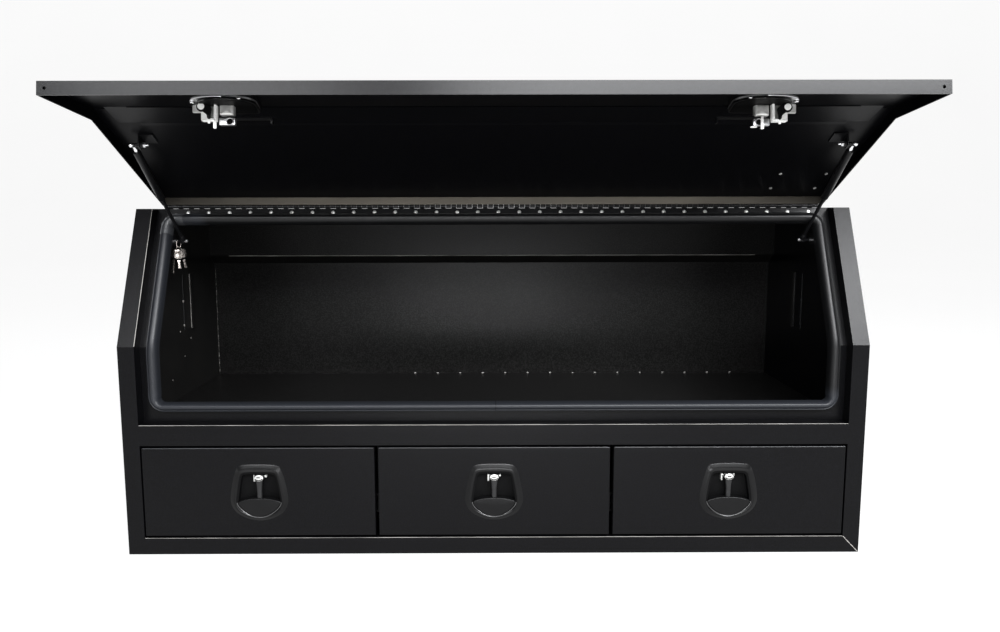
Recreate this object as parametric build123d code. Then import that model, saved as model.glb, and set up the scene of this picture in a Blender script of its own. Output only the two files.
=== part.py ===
from build123d import *
import os
from math import atan2, cos, degrees, hypot, radians, sin, tan

os.makedirs("parts", exist_ok=True)

# Driving dimensions, in millimetres and degrees
WIDTH = 1700.0
DEPTH = 600.0
HEIGHT = 800.0
KNEE_HEIGHT = 490.0
SLOPE_SETBACK = 127.0
SHEET = 2.0
FRAME_FACE = 38.0
BOTTOM_RAIL_HEIGHT = 39.0
RAIL_HEIGHT = 48.0
DRAWER_OPENING_HEIGHT = 221.0
GUTTER_DEPTH = 28.0
BOTTOM_GUTTER = 38.0
SIDE_GUTTER = 35.0
LIP_HEIGHT = 15.0
CORNER_RADIUS = 26.0
BEND_RADIUS = 39.0

SEAL_WIDTH = 18.0
SEAL_HEIGHT = 16.0
SEAL_ROUNDING = 7.0
SEAL_CREST_DEPTH = 3.0
SEAL_GRIP_CLEARANCE = 0.3
SEAL_BUTT_GAP = 0.6

LID_SIDE_GAP = 17.0
LID_FLANGE = 25.0
LID_HINGE_FLANGE = 21.5
LID_RAIL_GAP = 4.0
LID_TOP_OVERLAP = 10.2
LID_OPEN_ANGLE = 97.0
DRAIN_INSET = 14.0
DRAIN_RADIUS = 3.0

HINGE_PIN_RADIUS = 2.0
HINGE_CLEARANCE = 0.08
KNUCKLE_RADIUS = 4.5
KNUCKLE_LENGTH = 75.0
KNUCKLE_GAP = 0.4
KNUCKLE_SIDES = 12
LEAF_THICKNESS = 1.5
LEAF_END_INSET = 7.5
LEAF_WIDTH = 24.0
PIN_UP_SLOPE = 15.0
RIVET_PITCH = 50.0
RIVET_END_MARGIN = 30.0
RIVET_HEAD_RADIUS = 4.6
RIVET_HEAD_HEIGHT = 1.8
RIVET_SIDES = 8

STIFFENER_END_INSET = 75.0
STIFFENER_ABOVE_BEND = 44.0
STIFFENER_BELOW_BEND = 17.0
STIFFENER_LIP = 8.0
STIFFENER_END = 45.0
STIFFENER_SHEET = 1.5
LID_RIVET_RADIUS = 3.5
LID_RIVET_HEIGHT = 1.4
LID_RIVET_INSETS = (136.0, 31.0)
LID_RIVET_ROWS = (31.0, 94.0)

FLOOR_RISE = 32.0
CHANNEL_STANDOFF = 38.0
CHANNEL_DROP = 137.0
CHANNEL_BOTTOM_RISE = 26.0
CHANNEL_LIP = 14.0
SIDE_STRIP_FROM_BACK = 202.0
SIDE_STRIP_WIDTH = 8.0
SIDE_STRIP_LENGTH = 155.0

DRAWER_COUNT = 3
FRONT_GAP = 8.0
FRONT_END_GAP = 5.5
FRONT_THICKNESS = 18.0
FRONT_ROUNDING = 2.5
DRAWER_SHEET = 1.5
DRAWER_REAR_GAP = 45.0
DRAWER_HEAD_ROOM = 53.0
DRAWER_FLOOR_GAP = 8.0
DRAWER_RIM = 9.0

RUNNER_THICKNESS = 13.0
RUNNER_HEIGHT = 45.0
RUNNER_END_MARGIN = 1.0
RUNNER_WALL = 1.5
RUNNER_CLEARANCE = 0.6
RUNNER_RISE = 63.0
RUNNER_SETBACK = 32.0

DISH_WIDTH = 132.0
DISH_HEIGHT = 134.0
DISH_TOP_WIDTH = 92.0
DISH_CORNER = 16.0
DISH_CORNER_RISE = 4.5
DISH_HIP_DROP = 18.0
DISH_BOTTOM_RISE = 15.0
CORNER_FACETS = 4
BOTTOM_FACETS = 7
DISH_RIM_THICKNESS = 4.0
DISH_RIM_ROUNDING = 3.0
POCKET_WIDTH = 96.0
POCKET_TOP = 46.0
POCKET_TOP_WIDTH = 73.0
POCKET_HIP_DROP = 20.0
POCKET_BOTTOM_RISE = 10.0
POCKET_BOTTOM = 52.0
POCKET_DEPTH = 17.0
POCKET_WALL = 2.5
POCKET_CLEARANCE = 0.5
TAIL_WIDTH = 92.0
TAIL_TOP = -8.0
TAIL_BOTTOM = -48.0
TAIL_TIP = -20.0
TAIL_TOP_RISE = 1.0
TAIL_BOTTOM_RISE = 8.0
TAIL_OVERLAP = 6.0
STEM_TAPER_DROP = 12.0
STEM_EXTRA_DEPTH = 4.0
ROUND_SIDES = 16
HANDLE_THICKNESS = 9.0
HANDLE_PROUD = 1.0
STEM_WIDTH = 13.0
STEM_TOP_WIDTH = 26.0
HANDLE_PIVOT_HEIGHT = 37.0
HANDLE_PIVOT_DEPTH = 8.5
CHEEK_CLEARANCE = 1.0
CHEEK_THICKNESS = 4.0
CHEEK_DROP = 6.0
HANDLE_HUB_RADIUS = 8.4
HANDLE_PIN_RADIUS = 2.5
KEY_BARREL_RADIUS = 9.0
KEY_BARREL_PROUD = 2.0
KEY_BARREL_DROP = 9.0
HOUSING_WIDTH = 40.0
HOUSING_HEIGHT = 34.0
HOUSING_DEPTH = 12.0
SPINDLE_RADIUS = 7.0
SPINDLE_LENGTH = 9.0
CAM_THICKNESS = 3.0
CAM_WIDTH = 18.0
LID_CAM_LENGTH = 80.0
DRAWER_CAM_LENGTH = 114.0
CAM_FINGER = 12.0
LID_LOCK_INSET = 298.0
LID_LOCK_BELOW_BEND = 70.0
PLATE_INSET = 3.0
PLATE_CLEARANCE = 3.0
SCREW_RISE = 25.6
UPPER_SCREW_SPREAD = 47.0
LOWER_SCREW_SPREAD = 56.5
PLATE_THICKNESS = 2.5
NUT_RADIUS = 4.0
NUT_HEIGHT = 4.0
NUT_SIDES = 6

STRUT_FROM_LIP = 17.5
STRUT_EAR_GAP = 30.0
STRUT_LID_STANDOFF = 20.0
STRUT_STUD_DROP = 78.0
STRUT_STUD_SETBACK = 36.5
STRUT_TUBE_RADIUS = 9.0
STRUT_ROD_RADIUS = 4.0
STRUT_BORE_CLEARANCE = 0.08
STRUT_END_LENGTH = 17.0
STRUT_END_RADIUS = 6.5
STRUT_EYE_LENGTH = 11.0
STRUT_CLOSED_PLAY = 3.0
STRUT_OVERLAP = 12.0
STRUT_CAP = 8.0
STRUT_CLEARANCE = 0.8
BRACKET_MARGIN = 10.0
BALL_LENGTH = 11.0
STUD_RADIUS = 4.0
EAR_THICKNESS = 3.0
EAR_WIDTH = 30.0

KEY_RING_RADIUS = 11.0
KEY_WIRE_RADIUS = 1.0
KEY_COUNT = 3
KEY_HEAD_RADIUS = 10.0
KEY_THICKNESS = 2.0
KEY_BLADE_LENGTH = 34.0
KEY_BLADE_WIDTH = 8.0
KEY_PITCH = 2.5
KEY_HOLE_RADIUS = 3.0
KEY_RING_CLEARANCE = 0.3
KEY_FAN = 13.0

# Values worked out from the driving dimensions
HALF = WIDTH / 2
OPENING_HALF = HALF - FRAME_FACE
DRAWER_BOTTOM = BOTTOM_RAIL_HEIGHT
DRAWER_TOP = DRAWER_BOTTOM + DRAWER_OPENING_HEIGHT
RAIL_TOP = DRAWER_TOP + RAIL_HEIGHT
LIP_HALF = OPENING_HALF - SIDE_GUTTER
LIP_BOTTOM = RAIL_TOP + BOTTOM_GUTTER
SLOPE_LENGTH = hypot(SLOPE_SETBACK, HEIGHT - KNEE_HEIGHT)
DOWN_Y = -SLOPE_SETBACK / SLOPE_LENGTH
DOWN_Z = (KNEE_HEIGHT - HEIGHT) / SLOPE_LENGTH
IN_Y = -DOWN_Z
IN_Z = DOWN_Y
SLOPE_TILT = degrees(atan2(SLOPE_SETBACK, HEIGHT - KNEE_HEIGHT))
PIN_DEPTH = GUTTER_DEPTH - KNUCKLE_RADIUS
LEAF_LOWER_EDGE = PIN_UP_SLOPE - LEAF_WIDTH
LIP_UP_SLOPE = LEAF_LOWER_EDGE - SEAL_WIDTH / 2
LID_BOTTOM = RAIL_TOP + LID_RAIL_GAP
LID_WIDTH = 2 * (OPENING_HALF - LID_SIDE_GAP)
LEAF_LENGTH = LID_WIDTH - 2 * LEAF_END_INSET
RIVET_COUNT = int((LEAF_LENGTH - 2 * RIVET_END_MARGIN) / RIVET_PITCH) + 1
STIFFENER_LENGTH = LID_WIDTH - 2 * STIFFENER_END_INSET
LID_LOCK_SPACING = LID_WIDTH - 2 * LID_LOCK_INSET
LID_LOCK_HEIGHT = KNEE_HEIGHT - LID_LOCK_BELOW_BEND
FLOOR_HEIGHT = DRAWER_TOP + FLOOR_RISE
CHANNEL_FOOT = HEIGHT - CHANNEL_DROP - CHANNEL_BOTTOM_RISE - CHANNEL_LIP
STRUT_X = LIP_HALF - STRUT_FROM_LIP
STRUT_LID_DISTANCE = SLOPE_LENGTH - STIFFENER_ABOVE_BEND - STIFFENER_LIP - STRUT_EAR_GAP - EAR_WIDTH / 2
STRUT_BODY_Z = HEIGHT - STRUT_STUD_DROP
DRAWER_BAY = (2 * OPENING_HALF - (DRAWER_COUNT - 1) * SHEET) / DRAWER_COUNT
DRAWER_PITCH = DRAWER_BAY + SHEET
FRONT_WIDTH = DRAWER_PITCH - FRONT_GAP
FRONT_BOTTOM = DRAWER_BOTTOM + FRONT_END_GAP
FRONT_HEIGHT = DRAWER_OPENING_HEIGHT - 2 * FRONT_END_GAP
DRAWER_LOCK_HEIGHT = FRONT_BOTTOM + FRONT_HEIGHT / 2
BOX_WIDTH = DRAWER_BAY - 2 * RUNNER_THICKNESS
BOX_BOTTOM = DRAWER_BOTTOM + DRAWER_FLOOR_GAP
BOX_TOP = DRAWER_TOP - DRAWER_HEAD_ROOM
DRAWER_LENGTH = DEPTH - 2 * SHEET - DRAWER_REAR_GAP
RUNNER_LENGTH = SHEET + DRAWER_LENGTH - RUNNER_END_MARGIN - RUNNER_SETBACK
RUNNER_CENTRE_HEIGHT = BOX_BOTTOM + RUNNER_RISE
SIDES = (("left", -1), ("right", 1))
BAYS = ("left", "middle", "right")


def on_slope(down, depth):
    """The (y, z) point so far down the slope from its top and so deep behind its face."""
    return (
        SLOPE_SETBACK + DOWN_Y * down + IN_Y * depth,
        HEIGHT + DOWN_Z * down + IN_Z * depth,
    )


def knee_at(depth):
    """The (y, z) point of the bend, at a depth behind both faces."""
    return (depth, KNEE_HEIGHT - depth * tan(radians(SLOPE_TILT / 2)))


def slope_top_at(depth):
    """The (y, z) point where the slope, at a depth behind its face, meets the top."""
    return on_slope(IN_Z * depth / -DOWN_Z, depth)


def behind_gutter(z):
    """Where, at a height on the slope, the back of the gutter floor lies."""
    face = (z - KNEE_HEIGHT) * SLOPE_SETBACK / (HEIGHT - KNEE_HEIGHT)
    return face + (GUTTER_DEPTH + SHEET) / IN_Y


STRUT_BODY_Y = behind_gutter(STRUT_BODY_Z) + STRUT_STUD_SETBACK
PIN_Y, PIN_Z = on_slope(-PIN_UP_SLOPE, PIN_DEPTH)
PIN_AXIS = Axis((0, PIN_Y, PIN_Z), (1, 0, 0))


def slab(outline, x_low, x_high):
    """A side-view outline of (y, z) points carried from x_low to x_high."""
    wire = Wire.make_polygon([(x_low, y, z) for y, z in outline], close=True)
    return Solid.extrude(Face(wire), Vector(x_high - x_low, 0, 0))


def plate(outline, y_low, y_high):
    """A front-view outline of (x, z) points carried from y_low to y_high."""
    wire = Wire.make_polygon([(x, y_low, z) for x, z in outline], close=True)
    return Solid.extrude(Face(wire), Vector(0, y_high - y_low, 0))


def block(x_range, y_range, z_range):
    """A square-edged bar between the given limits."""
    (x0, x1), (y0, y1), (z0, z1) = x_range, y_range, z_range
    return Pos(x0, y0, z0) * Box(x1 - x0, y1 - y0, z1 - z0, align=(Align.MIN, Align.MIN, Align.MIN))


def span(sign, inner, outer):
    """The limits of x between two distances from the centre, on the side of the sign."""
    return (min(sign * inner, sign * outer), max(sign * inner, sign * outer))


def bar(radius, length, sides=0):
    """A bar standing on its end: round, or with so many sides."""
    if sides:
        return extrude(RegularPolygon(radius, sides), length)
    return Cylinder(radius, length, align=(Align.CENTER, Align.CENTER, Align.MIN))


def x_rod(radius, x_low, x_high, y, z, sides=0):
    """A bar along X."""
    return Pos(x_low, y, z) * Rot(0, 90, 0) * bar(radius, x_high - x_low, sides)


def y_rod(radius, y_low, y_high, x, z, sides=0):
    """A bar along Y."""
    return Pos(x, y_low, z) * Rot(-90, 0, 0) * bar(radius, y_high - y_low, sides)


def bow(start, end, rise, count):
    """Points from start to end on a parabola that rises by so much at the middle, left of the chord."""
    (x0, z0), (x1, z1) = start, end
    length = hypot(x1 - x0, z1 - z0)
    points = []
    for i in range(count + 1):
        share = i / count
        off = 4 * rise * share * (1 - share) / length
        points.append((x0 + (x1 - x0) * share - (z1 - z0) * off, z0 + (z1 - z0) * share + (x1 - x0) * off))
    return points


def folded(line, thickness, x_low, x_high):
    """Sheet folded along a side-view line; the metal lies on the left of the line's direction."""
    inner = []
    count = len(line)
    for i, (y, z) in enumerate(line):
        before = line[max(i - 1, 0)]
        after = line[min(i + 1, count - 1)]
        first = normal_of(before, (y, z)) if i > 0 else normal_of((y, z), after)
        second = normal_of((y, z), after) if i < count - 1 else first
        mitre = 1 + first[0] * second[0] + first[1] * second[1]
        inner.append(
            (
                y + thickness * (first[0] + second[0]) / mitre,
                z + thickness * (first[1] + second[1]) / mitre,
            )
        )
    return slab(line + inner[::-1], x_low, x_high)


def normal_of(start, end):
    """The unit normal on the left of a line from start to end."""
    length = hypot(end[0] - start[0], end[1] - start[1])
    return (-(end[1] - start[1]) / length, (end[0] - start[0]) / length)


def one(shape):
    """The single solid that a fused shape consists of."""
    found = shape.solids()
    return found[0] if len(found) == 1 else shape


def opened(shape):
    """A lid piece turned from the closed place, in which it is drawn, to the open one."""
    return shape.rotate(PIN_AXIS, -LID_OPEN_ANGLE)


# Cabinet shell


def side_panel(sign):
    """The five-cornered side sheet."""
    outline = [(SHEET, 0), knee_at(SHEET), slope_top_at(SHEET), (DEPTH, HEIGHT), (DEPTH, 0)]
    return slab(outline, *span(sign, HALF - SHEET, HALF))


def front_post(sign):
    """The upright part of the side flange: face, return and, beside the lid, the gutter floor."""
    mitre = [
        (sign * HALF, 0),
        (sign * OPENING_HALF, DRAWER_BOTTOM),
        (sign * OPENING_HALF, KNEE_HEIGHT),
        (sign * HALF, KNEE_HEIGHT),
    ]
    face = plate(mitre, 0, SHEET)
    lower, upper = knee_at(0), knee_at(SHEET)
    trim = slab([lower, (lower[0], HEIGHT), (upper[0], HEIGHT), upper], -HALF, HALF)
    back = GUTTER_DEPTH + SHEET
    face = face - trim
    wall = slab(
        [(SHEET, SHEET), knee_at(SHEET), knee_at(back), (back, SHEET)],
        *span(sign, OPENING_HALF, OPENING_HALF + SHEET),
    )
    floor = slab(
        [(GUTTER_DEPTH, RAIL_TOP), knee_at(GUTTER_DEPTH), knee_at(back), (back, RAIL_TOP)],
        *span(sign, LIP_HALF, OPENING_HALF + SHEET),
    )
    return one(face + wall + floor)


def slope_post(sign):
    """The sloping part of the side flange, welded to the upright part at the bend."""
    back = GUTTER_DEPTH + SHEET
    face = slab(
        [knee_at(0), slope_top_at(0), slope_top_at(SHEET), knee_at(SHEET)],
        *span(sign, OPENING_HALF, HALF),
    )
    wall = slab(
        [knee_at(SHEET), slope_top_at(SHEET), slope_top_at(back), knee_at(back)],
        *span(sign, OPENING_HALF, OPENING_HALF + SHEET),
    )
    floor = slab(
        [knee_at(GUTTER_DEPTH), slope_top_at(GUTTER_DEPTH), slope_top_at(back), knee_at(back)],
        *span(sign, LIP_HALF, OPENING_HALF + SHEET),
    )
    return one(face + wall + floor)


def bottom_rail():
    """The rail under the drawers, mitred to the posts and folded back."""
    outline = [(-HALF, 0), (HALF, 0), (OPENING_HALF, DRAWER_BOTTOM), (-OPENING_HALF, DRAWER_BOTTOM)]
    face = plate(outline, 0, SHEET)
    shelf = block(
        (-OPENING_HALF, OPENING_HALF), (SHEET, GUTTER_DEPTH), (DRAWER_BOTTOM - SHEET, DRAWER_BOTTOM)
    )
    return one(face + shelf)


def mid_rail():
    """The rail between drawers and lid, folded from drawer shelf to gutter floor in one sheet."""
    back = GUTTER_DEPTH + SHEET
    line = [
        (back, DRAWER_TOP),
        (0, DRAWER_TOP),
        (0, RAIL_TOP),
        (GUTTER_DEPTH, RAIL_TOP),
        (GUTTER_DEPTH, LIP_BOTTOM + SHEET),
    ]
    rail = folded(line[::-1], SHEET, -OPENING_HALF, OPENING_HALF)
    ends = [span(sign, LIP_HALF, OPENING_HALF) for sign in (-1, 1)]
    for end in ends:
        rail = rail - block(end, (GUTTER_DEPTH, back), (RAIL_TOP, LIP_BOTTOM + 2 * SHEET))
    return one(rail)


def hinge_header():
    """The sloping plate under the top that carries the hinge and ends at the lip."""
    back = GUTTER_DEPTH + SHEET
    outline = [
        slope_top_at(GUTTER_DEPTH),
        on_slope(-LIP_UP_SLOPE, GUTTER_DEPTH),
        on_slope(-LIP_UP_SLOPE, back),
        slope_top_at(back),
    ]
    return slab(outline, -LIP_HALF, LIP_HALF)


def top_panel():
    """The fixed flat top behind the hinge."""
    front = slope_top_at(GUTTER_DEPTH + SHEET)[0]
    outline = [
        (front, HEIGHT),
        (front - SHEET * DOWN_Y / DOWN_Z, HEIGHT - SHEET),
        (DEPTH - SHEET, HEIGHT - SHEET),
        (DEPTH - SHEET, HEIGHT),
    ]
    return slab(outline, -HALF + SHEET, HALF - SHEET)


def rear_panel():
    """The upright back sheet."""
    return block((-HALF + SHEET, HALF - SHEET), (DEPTH - SHEET, DEPTH), (0, HEIGHT))


def base_panel():
    """The bottom sheet."""
    return block((-HALF + SHEET, HALF - SHEET), (SHEET, DEPTH - SHEET), (0, SHEET))


def upper_floor():
    """The floor of the upper compartment, above the drawers."""
    return block(
        (-HALF + SHEET, HALF - SHEET),
        (GUTTER_DEPTH + SHEET, DEPTH - SHEET),
        (FLOOR_HEIGHT - SHEET, FLOOR_HEIGHT),
    )


def bay_wall(inner, outer):
    """An upright sheet beside a drawer bay, from the base to the upper floor."""
    return block((inner, outer), (GUTTER_DEPTH + SHEET, DEPTH - SHEET), (SHEET, FLOOR_HEIGHT - SHEET))


def drawer_partitions():
    """The two sheets between neighbouring drawers."""
    walls = []
    for i in range(DRAWER_COUNT - 1):
        centre = (i - (DRAWER_COUNT - 2) / 2) * DRAWER_PITCH
        walls.append(bay_wall(centre - SHEET / 2, centre + SHEET / 2))
    return Compound(walls)


def bay_liners():
    """The two sheets that carry the outermost runners, behind the posts."""
    return Compound([bay_wall(*span(sign, OPENING_HALF, OPENING_HALF + SHEET)) for sign in (-1, 1)])


def rear_channel():
    """The folded channel along the top of the back, with its lip on the rear sheet."""
    wall_y = DEPTH - SHEET
    face_y = wall_y - CHANNEL_STANDOFF
    line = [
        (face_y, HEIGHT - SHEET),
        (face_y, HEIGHT - CHANNEL_DROP),
        (wall_y - SHEET, CHANNEL_FOOT + CHANNEL_LIP),
        (wall_y - SHEET, CHANNEL_FOOT),
    ]
    return folded(line, SHEET, -HALF + SHEET, HALF - SHEET)


def side_strips():
    """The narrow upright stiffeners inside the two side sheets."""
    strips = []
    for sign in (-1, 1):
        strips.append(
            block(
                span(sign, HALF - SHEET - SIDE_STRIP_WIDTH, HALF - SHEET),
                (DEPTH - SIDE_STRIP_FROM_BACK, DEPTH - SIDE_STRIP_FROM_BACK + SIDE_STRIP_WIDTH * 2),
                (CHANNEL_FOOT - SIDE_STRIP_LENGTH, CHANNEL_FOOT),
            )
        )
    return Compound(strips)


# Opening lip and seal


def opening_path(sign, depth):
    """The line along which lip and seal run, from the middle below to the middle above."""
    bottom = LIP_BOTTOM + SHEET / 2
    side = sign * (LIP_HALF + SHEET / 2)
    top = on_slope(-LIP_UP_SLOPE, depth)
    points = [
        (0, depth, bottom),
        (side, depth, bottom),
        (side, *knee_at(depth)),
        (side, *top),
        (0, *top),
    ]
    return FilletPolyline(*points, radius=(CORNER_RADIUS, BEND_RADIUS, CORNER_RADIUS))


def carried(section, sign, depth):
    """A front-to-back section of (outward, depth) points swept along the opening."""
    path = opening_path(sign, depth)
    wire = Wire.make_polygon(
        [(0, y, LIP_BOTTOM + SHEET / 2 - outward) for outward, y in section], close=True
    )
    return sweep(Face(wire), path=path)


def opening_lip():
    """The upstand round the opening that the seal is pushed onto."""
    section = [
        (-SHEET / 2, GUTTER_DEPTH - LIP_HEIGHT),
        (SHEET / 2, GUTTER_DEPTH - LIP_HEIGHT),
        (SHEET / 2, GUTTER_DEPTH),
        (-SHEET / 2, GUTTER_DEPTH),
    ]
    depth = GUTTER_DEPTH - LIP_HEIGHT / 2
    room = [
        (-GUTTER_DEPTH, 0),
        (-GUTTER_DEPTH, HEIGHT),
        slope_top_at(GUTTER_DEPTH),
        knee_at(GUTTER_DEPTH),
        (GUTTER_DEPTH, 0),
    ]
    return one((carried(section, -1, depth) + carried(section, 1, depth)) & slab(room, -HALF, HALF))


def seal_section(low):
    """The seal's section: a strip with rounded crest corners and a slot for the lip."""
    half = SEAL_WIDTH / 2
    crest = SEAL_CREST_DEPTH
    foot = crest + SEAL_HEIGHT
    round_off = SEAL_ROUNDING
    cut = round_off * (1 - cos(radians(45)))
    slot = SHEET / 2 + SEAL_GRIP_CLEARANCE
    slot_end = GUTTER_DEPTH - LIP_HEIGHT - SEAL_GRIP_CLEARANCE
    right = [
        (half - round_off, crest),
        (half - cut, crest + cut),
        (half, crest + round_off),
        (half, foot),
        (slot, foot),
        (slot, slot_end),
    ]
    left = [(-outward, y) for outward, y in right]
    return Face(Wire.make_polygon([(0, y, low - outward) for outward, y in left[::-1] + right], close=True))


def opening_seal():
    """The rubber seal, one strip round the opening with its butt joint in the middle below."""
    depth = SEAL_CREST_DEPTH + SEAL_HEIGHT / 2
    low = LIP_BOTTOM + SHEET / 2
    halves = [sweep(seal_section(low), path=opening_path(sign, depth)) for sign in (-1, 1)]
    joint = block(
        (-SEAL_BUTT_GAP / 2, SEAL_BUTT_GAP / 2),
        (0, GUTTER_DEPTH),
        (low - SEAL_WIDTH, low + SEAL_WIDTH),
    )
    return one(halves[0] + halves[1] - joint)


# Hinge


def knuckle_places(first):
    """The x limits of every second knuckle, starting with the given one."""
    count = int(LEAF_LENGTH / KNUCKLE_LENGTH)
    start = -count * KNUCKLE_LENGTH / 2
    for i in range(first, count, 2):
        low = start + i * KNUCKLE_LENGTH + KNUCKLE_GAP / 2
        yield low, low + KNUCKLE_LENGTH - KNUCKLE_GAP


def hinge_leaf(plate_outline, tab_outline, first):
    """A leaf with the rolled knuckles of its side of the hinge."""
    leaf = slab(plate_outline, -LEAF_LENGTH / 2, LEAF_LENGTH / 2)
    tabs = [slab(tab_outline, low, high) for low, high in knuckle_places(first)]
    rolls = []
    for low, high in knuckle_places(first):
        rolls.append(x_rod(KNUCKLE_RADIUS, low, high, PIN_Y, PIN_Z, KNUCKLE_SIDES))
    bore = x_rod(HINGE_PIN_RADIUS + HINGE_CLEARANCE, -LEAF_LENGTH, LEAF_LENGTH, PIN_Y, PIN_Z)
    return one(leaf.fuse(*tabs, *rolls) - bore)


def hinge_body_leaf():
    """The leaf that is riveted to the header."""
    front = GUTTER_DEPTH - LEAF_THICKNESS
    edge = PIN_UP_SLOPE - KNUCKLE_RADIUS - 2 * KNUCKLE_GAP
    strip = [
        on_slope(-LEAF_LOWER_EDGE, front),
        on_slope(-edge, front),
        on_slope(-edge, GUTTER_DEPTH),
        on_slope(-LEAF_LOWER_EDGE, GUTTER_DEPTH),
    ]
    tab = [
        on_slope(-edge, front),
        on_slope(-PIN_UP_SLOPE, front),
        on_slope(-PIN_UP_SLOPE, GUTTER_DEPTH),
        on_slope(-edge, GUTTER_DEPTH),
    ]
    return hinge_leaf(strip, tab, 0)


def hinge_lid_leaf():
    """The leaf on the lid's hinge flange, in the lid's closed place."""
    low = PIN_UP_SLOPE - KNUCKLE_RADIUS
    high = low + LEAF_THICKNESS
    edge = PIN_DEPTH - KNUCKLE_RADIUS - 2 * KNUCKLE_GAP
    strip = [
        on_slope(-low, SHEET),
        on_slope(-high, SHEET),
        on_slope(-high, edge),
        on_slope(-low, edge),
    ]
    tab = [
        on_slope(-low, edge),
        on_slope(-high, edge),
        on_slope(-high, PIN_DEPTH),
        on_slope(-low, PIN_DEPTH),
    ]
    return hinge_leaf(strip, tab, 1)


def hinge_pin():
    """The continuous pin through all knuckles."""
    return x_rod(HINGE_PIN_RADIUS, -LEAF_LENGTH / 2, LEAF_LENGTH / 2, PIN_Y, PIN_Z)


def hinge_rivets():
    """The row of dome heads that hold the hinge to the header."""
    head_up = (LEAF_LOWER_EDGE + PIN_UP_SLOPE - KNUCKLE_RADIUS) / 2
    y, z = on_slope(-head_up, GUTTER_DEPTH - LEAF_THICKNESS)
    head = extrude(RegularPolygon(RIVET_HEAD_RADIUS, RIVET_SIDES), RIVET_HEAD_HEIGHT, taper=35)
    turn = Rot(90 - SLOPE_TILT, 0, 0)
    first = -(RIVET_COUNT - 1) * RIVET_PITCH / 2
    return Compound([Pos(first + i * RIVET_PITCH, y, z) * turn * head for i in range(RIVET_COUNT)])


# Lid


def lid_pan():
    """The lid sheet, bent at the knee, with a flange folded in along all four edges."""
    half = LID_WIDTH / 2
    top = LID_TOP_OVERLAP
    outer = [
        (0, LID_BOTTOM),
        knee_at(0),
        on_slope(-top, 0),
        on_slope(-top, LID_FLANGE),
        knee_at(LID_FLANGE),
        (LID_FLANGE, LID_BOTTOM),
    ]
    inner_top = top - SHEET
    past = LID_FLANGE + 2 * SHEET
    inner = [
        (SHEET, LID_BOTTOM + SHEET),
        knee_at(SHEET),
        on_slope(-inner_top, SHEET),
        on_slope(-inner_top, past),
        knee_at(past),
        (past, LID_BOTTOM + SHEET),
    ]
    pan = slab(outer, -half, half) - slab(inner, SHEET - half, half - SHEET)
    relief = [
        on_slope(-inner_top + SHEET, LID_HINGE_FLANGE),
        on_slope(-top - SHEET, LID_HINGE_FLANGE),
        on_slope(-top - SHEET, past),
        on_slope(-inner_top + SHEET, past),
    ]
    pan = pan - slab(relief, -half, half)
    for sign in (-1, 1):
        pan = pan - Pos(sign * LID_LOCK_SPACING / 2, 0, LID_LOCK_HEIGHT) * pocket_hole(2 * SHEET)
        drain = Cylinder(DRAIN_RADIUS, 4 * SHEET)
        pan = pan - Pos(sign * (half - DRAIN_INSET), LID_FLANGE / 2, LID_BOTTOM) * drain
    return opened(one(pan))


def lid_stiffener():
    """The folded strip that bridges the bend inside the lid, with its lip and the wedges at its ends."""
    down = SLOPE_LENGTH - STIFFENER_ABOVE_BEND
    line = [
        on_slope(down - STIFFENER_LIP, SHEET),
        on_slope(down, SHEET),
        (SHEET, KNEE_HEIGHT - STIFFENER_BELOW_BEND),
    ]
    half = STIFFENER_LENGTH / 2
    strip = folded(line, STIFFENER_SHEET, -half, half)
    ends = []
    for sign in (-1, 1):
        wedge = [line[1], line[2], knee_at(SHEET)]
        ends.append(slab(wedge, *span(sign, half - STIFFENER_SHEET, half + STIFFENER_END)))
    return opened(one(strip.fuse(*ends)))


def lid_strut_brackets():
    """The ears on the lid with the ball studs of the struts."""
    brackets = []
    y, z = on_slope(STRUT_LID_DISTANCE, STRUT_LID_STANDOFF)
    for sign in (-1, 1):
        inner = STRUT_X - STRUT_EYE_LENGTH / 2 - STRUT_CLEARANCE - BALL_LENGTH
        low = STRUT_LID_DISTANCE - EAR_WIDTH / 2
        high = STRUT_LID_DISTANCE + EAR_WIDTH / 2
        top = STRUT_LID_STANDOFF + STUD_RADIUS * 2
        ear = slab(
            [on_slope(low, SHEET), on_slope(high, SHEET), on_slope(high - 8, top), on_slope(low + 8, top)],
            *span(sign, inner - EAR_THICKNESS, inner),
        )
        foot = slab(
            [
                on_slope(low, SHEET),
                on_slope(high, SHEET),
                on_slope(high, SHEET + EAR_THICKNESS),
                on_slope(low, SHEET + EAR_THICKNESS),
            ],
            *span(sign, inner - EAR_WIDTH, inner),
        )
        stud = x_rod(STUD_RADIUS, *span(sign, inner - EAR_THICKNESS - 8, inner + BALL_LENGTH), y, z)
        nut = x_rod(STUD_RADIUS * 1.7, *span(sign, inner - EAR_THICKNESS - 5, inner - EAR_THICKNESS), y, z)
        brackets.append(one(ear + foot + stud + nut))
    return opened(Compound(brackets))


def lid_rivets():
    """The four blind rivet heads in the lid's slope."""
    heads = []
    head = bar(LID_RIVET_RADIUS, LID_RIVET_HEIGHT, RIVET_SIDES)
    for inset in LID_RIVET_INSETS:
        x = LID_WIDTH / 2 - inset
        for down in LID_RIVET_ROWS:
            y, z = on_slope(down, SHEET)
            heads.append(Pos(x, y, z) * Rot(-90 - SLOPE_TILT, 0, 0) * head)
    return opened(Compound(heads))


# Locks, each drawn round its own centre: x to the right, z up, y into the panel


def lock_outline(half, y):
    """A face in the plane at y from the right half of an outline, top to bottom, and its mirror."""
    mirrored = [(-x, z) for x, z in half[::-1] if x > 0]
    return Face(Wire.make_polygon([(x, y, z) for x, z in half + mirrored], close=True))


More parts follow.
